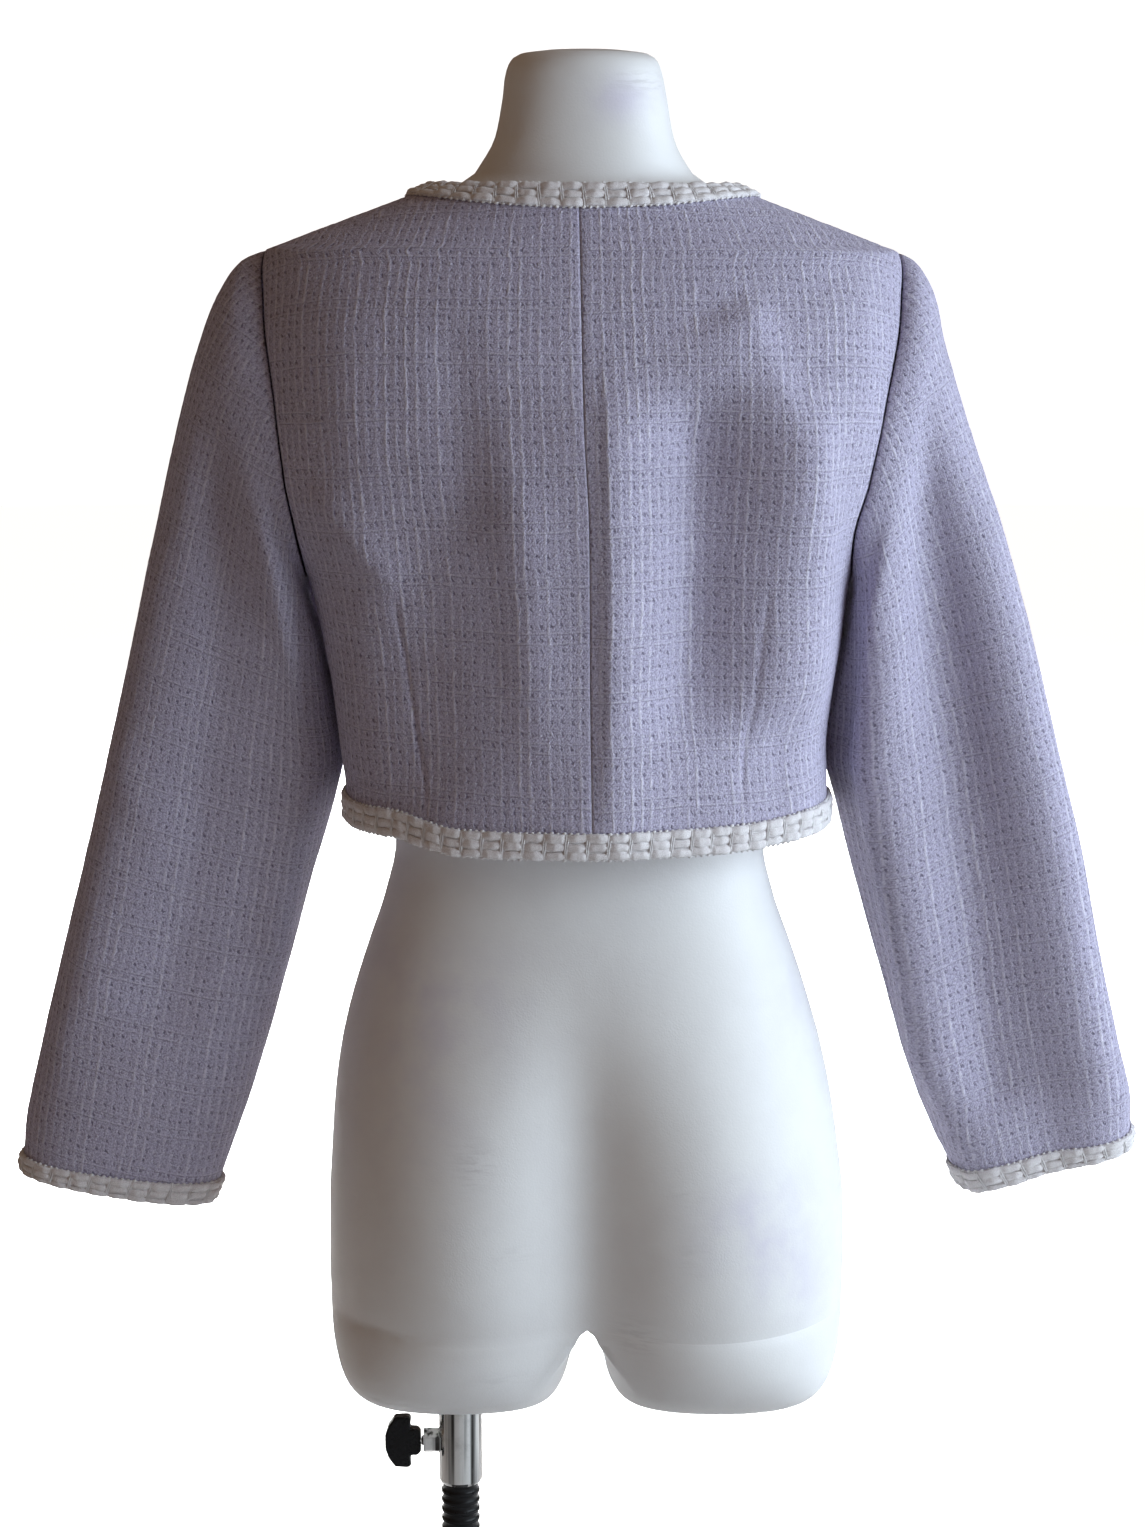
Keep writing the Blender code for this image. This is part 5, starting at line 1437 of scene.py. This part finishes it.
TWEED_LOOK = tweed_look()
ROVING_LOOK = wool_look("roving", (0.95, 0.93, 0.95), (0.70, 0.66, 0.68), 1500.0)
THREAD_LOOK = wool_look("stitch_thread", (0.97, 0.96, 0.97), (0.84, 0.81, 0.83), 2600.0)
FORM_LOOK = form_look()
CHROME_LOOK = chrome_look()
ROD_LOOK = black_look("black_sleeve", (0.010, 0.010, 0.011), 0.26, 0.45, 220.0, 0.00006, 0.22)
KNOB_LOOK = black_look("black_plastic", (0.006, 0.006, 0.007), 0.22, 0.40, 260.0, 0.00008, 0.22)
BASE_LOOK = black_look("painted_steel", (0.030, 0.030, 0.032), 0.42, 0.58, 700.0, 0.00010, 0.35)

sheets = {}              # each with the flat places of its net
for side in SIDES:
    for face in ("back", "front"):
        sheets[face + "_" + side] = bodice_panel(face, side)
    sheets["sleeve_" + side] = sleeve_tube(side)
for side in SIDES:
    cuff_braid(side)
    front_braid(side)
neck_braid()
hem_braid()
form = torso_form()
ribbed_rod()
for name, material in (("collar", CHROME_LOOK), ("clamp_nut", CHROME_LOOK),
                       ("clamp_screw", CHROME_LOOK), ("knob", KNOB_LOOK), ("base", BASE_LOOK)):
    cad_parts[name].data.materials.clear()
    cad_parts[name].data.materials.append(material)


def cut_area(flat):
    """Area of a flat cut, by its small quadrilaterals."""
    a, b, c, d = flat[:-1, :-1], flat[:-1, 1:], flat[1:, 1:], flat[1:, :-1]
    p, q = c - a, d - b
    return float(np.abs(p[..., 0] * q[..., 1] - p[..., 1] * q[..., 0]).sum() / 2)


for name, (thing, flat) in sheets.items():
    width, length = (float(np.ptp(flat[..., k])) for k in (0, 1))
    cut_area(flat)
    print("CUT", name, round(width, 4), round(length, 4), round(cut_area(flat), 5))


# ---- floor, light and camera ----

FLOOR_REACH = 12.0
FLOOR_GLOW = 0.93
UNDER_FLOOR_Z = -0.001
WALL_REACH = 11.0
WALL_FOOT_Z = -0.05
WALL_CAP = 0.02          # radians short of straight up at which a flat cap closes the walls
WALL_RINGS = 10
WALL_SIDES = 48
WALL_GLOW = 1.0
PALE = 0.80
FILL_COLOUR = (1.0, 0.68, 0.46)   # weak warm light from all round
FILL_STRENGTH = 0.150
KEY_POWER = 77.0         # the cool light, to the photo's right
KEY_COLOUR = (0.76, 0.89, 1.0)
POOL_POWER = 170.0       # on the floor beyond the model
WHITE = (1.0, 1.0, 1.0)


def area_light(name, place, aim, size, power, colour, spread_angle=180.0):
    light = bpy.data.lights.new(name, "AREA")
    light.shape = "RECTANGLE"
    light.size, light.size_y = size
    light.energy = power
    light.color = colour
    light.spread = math.radians(spread_angle)
    thing = into_scene(name, light)
    thing.location = place
    thing.rotation_euler = (Vector(aim) - Vector(place)).to_track_quat("-Z", "Y").to_euler()


def pale_board(name, corners, faces, glow, seen=True):
    """A piece of the studio in one pale colour: either seen itself, or there to return light."""
    mesh = bpy.data.meshes.new(name)
    mesh.from_pydata(corners, [], faces)
    mesh.materials.append(Net("pale_" + name, 0.9, Base_Color=(PALE,) * 3, Specular_IOR_Level=0.1,
                              Emission_Color=WHITE, Emission_Strength=glow).material)
    board = into_scene(name, mesh)
    board.visible_camera = seen
    board.visible_diffuse = board.visible_glossy = board.visible_shadow = not seen


def studio():
    floor = [(x * FLOOR_REACH, y * FLOOR_REACH) for x, y in ((-1, -1), (1, -1), (1, 1), (-1, 1))]
    for name, level, glow in (("floor", 0.0, FLOOR_GLOW), ("under_floor", UNDER_FLOOR_Z, 0.0)):
        pale_board(name, [(x, y, level) for x, y in floor], [(0, 1, 2, 3)], glow, name == "floor")
    walls = [(WALL_REACH * math.cos(up) * math.cos(turn),
              WALL_REACH * math.cos(up) * math.sin(turn),
              WALL_REACH * math.sin(up) + WALL_FOOT_Z)
             for up in np.linspace(0.0, math.pi / 2 - WALL_CAP, WALL_RINGS)
             for turn in np.arange(WALL_SIDES) * math.tau / WALL_SIDES]
    faces = quads(WALL_RINGS, WALL_SIDES, closed_across=True).tolist()
    faces.append([(WALL_RINGS - 1) * WALL_SIDES + j for j in range(WALL_SIDES)])
    pale_board("backdrop", walls, faces, WALL_GLOW)
    world = bpy.data.worlds.new("studio")
    bpy.context.scene.world = world
    world.use_nodes = True
    background = world.node_tree.nodes["Background"]
    background.inputs[0].default_value = (*FILL_COLOUR, 1.0)
    background.inputs[1].default_value = FILL_STRENGTH


studio()
area_light("key", (-2.15, 0.68, 1.35), (0.0, 0.0, 0.85), (2.6, 1.9), KEY_POWER, KEY_COLOUR)
area_light("floor_light", (0.0, -3.3, 2.3), (0.0, -3.3, 0.0), (1.6, 4.6), POOL_POWER, WHITE, 60.0)

# Focal length and height of the photo in its own pixels, and how far the camera looks down
PHOTO_LENS, PHOTO_HEIGHT, CAMERA_PITCH = 3012.0, 1527.0, 10.04
camera_data = bpy.data.cameras.new("camera")
camera_data.lens = PHOTO_LENS / PHOTO_HEIGHT * camera_data.sensor_width
camera = into_scene("camera", camera_data)
camera.location = (0.0082, 1.75, 1.124)
camera.rotation_euler = (math.radians(90.0 - CAMERA_PITCH), 0.0, math.radians(180.0))
bpy.context.scene.camera = camera
bpy.context.scene.view_settings.view_transform = "Standard"
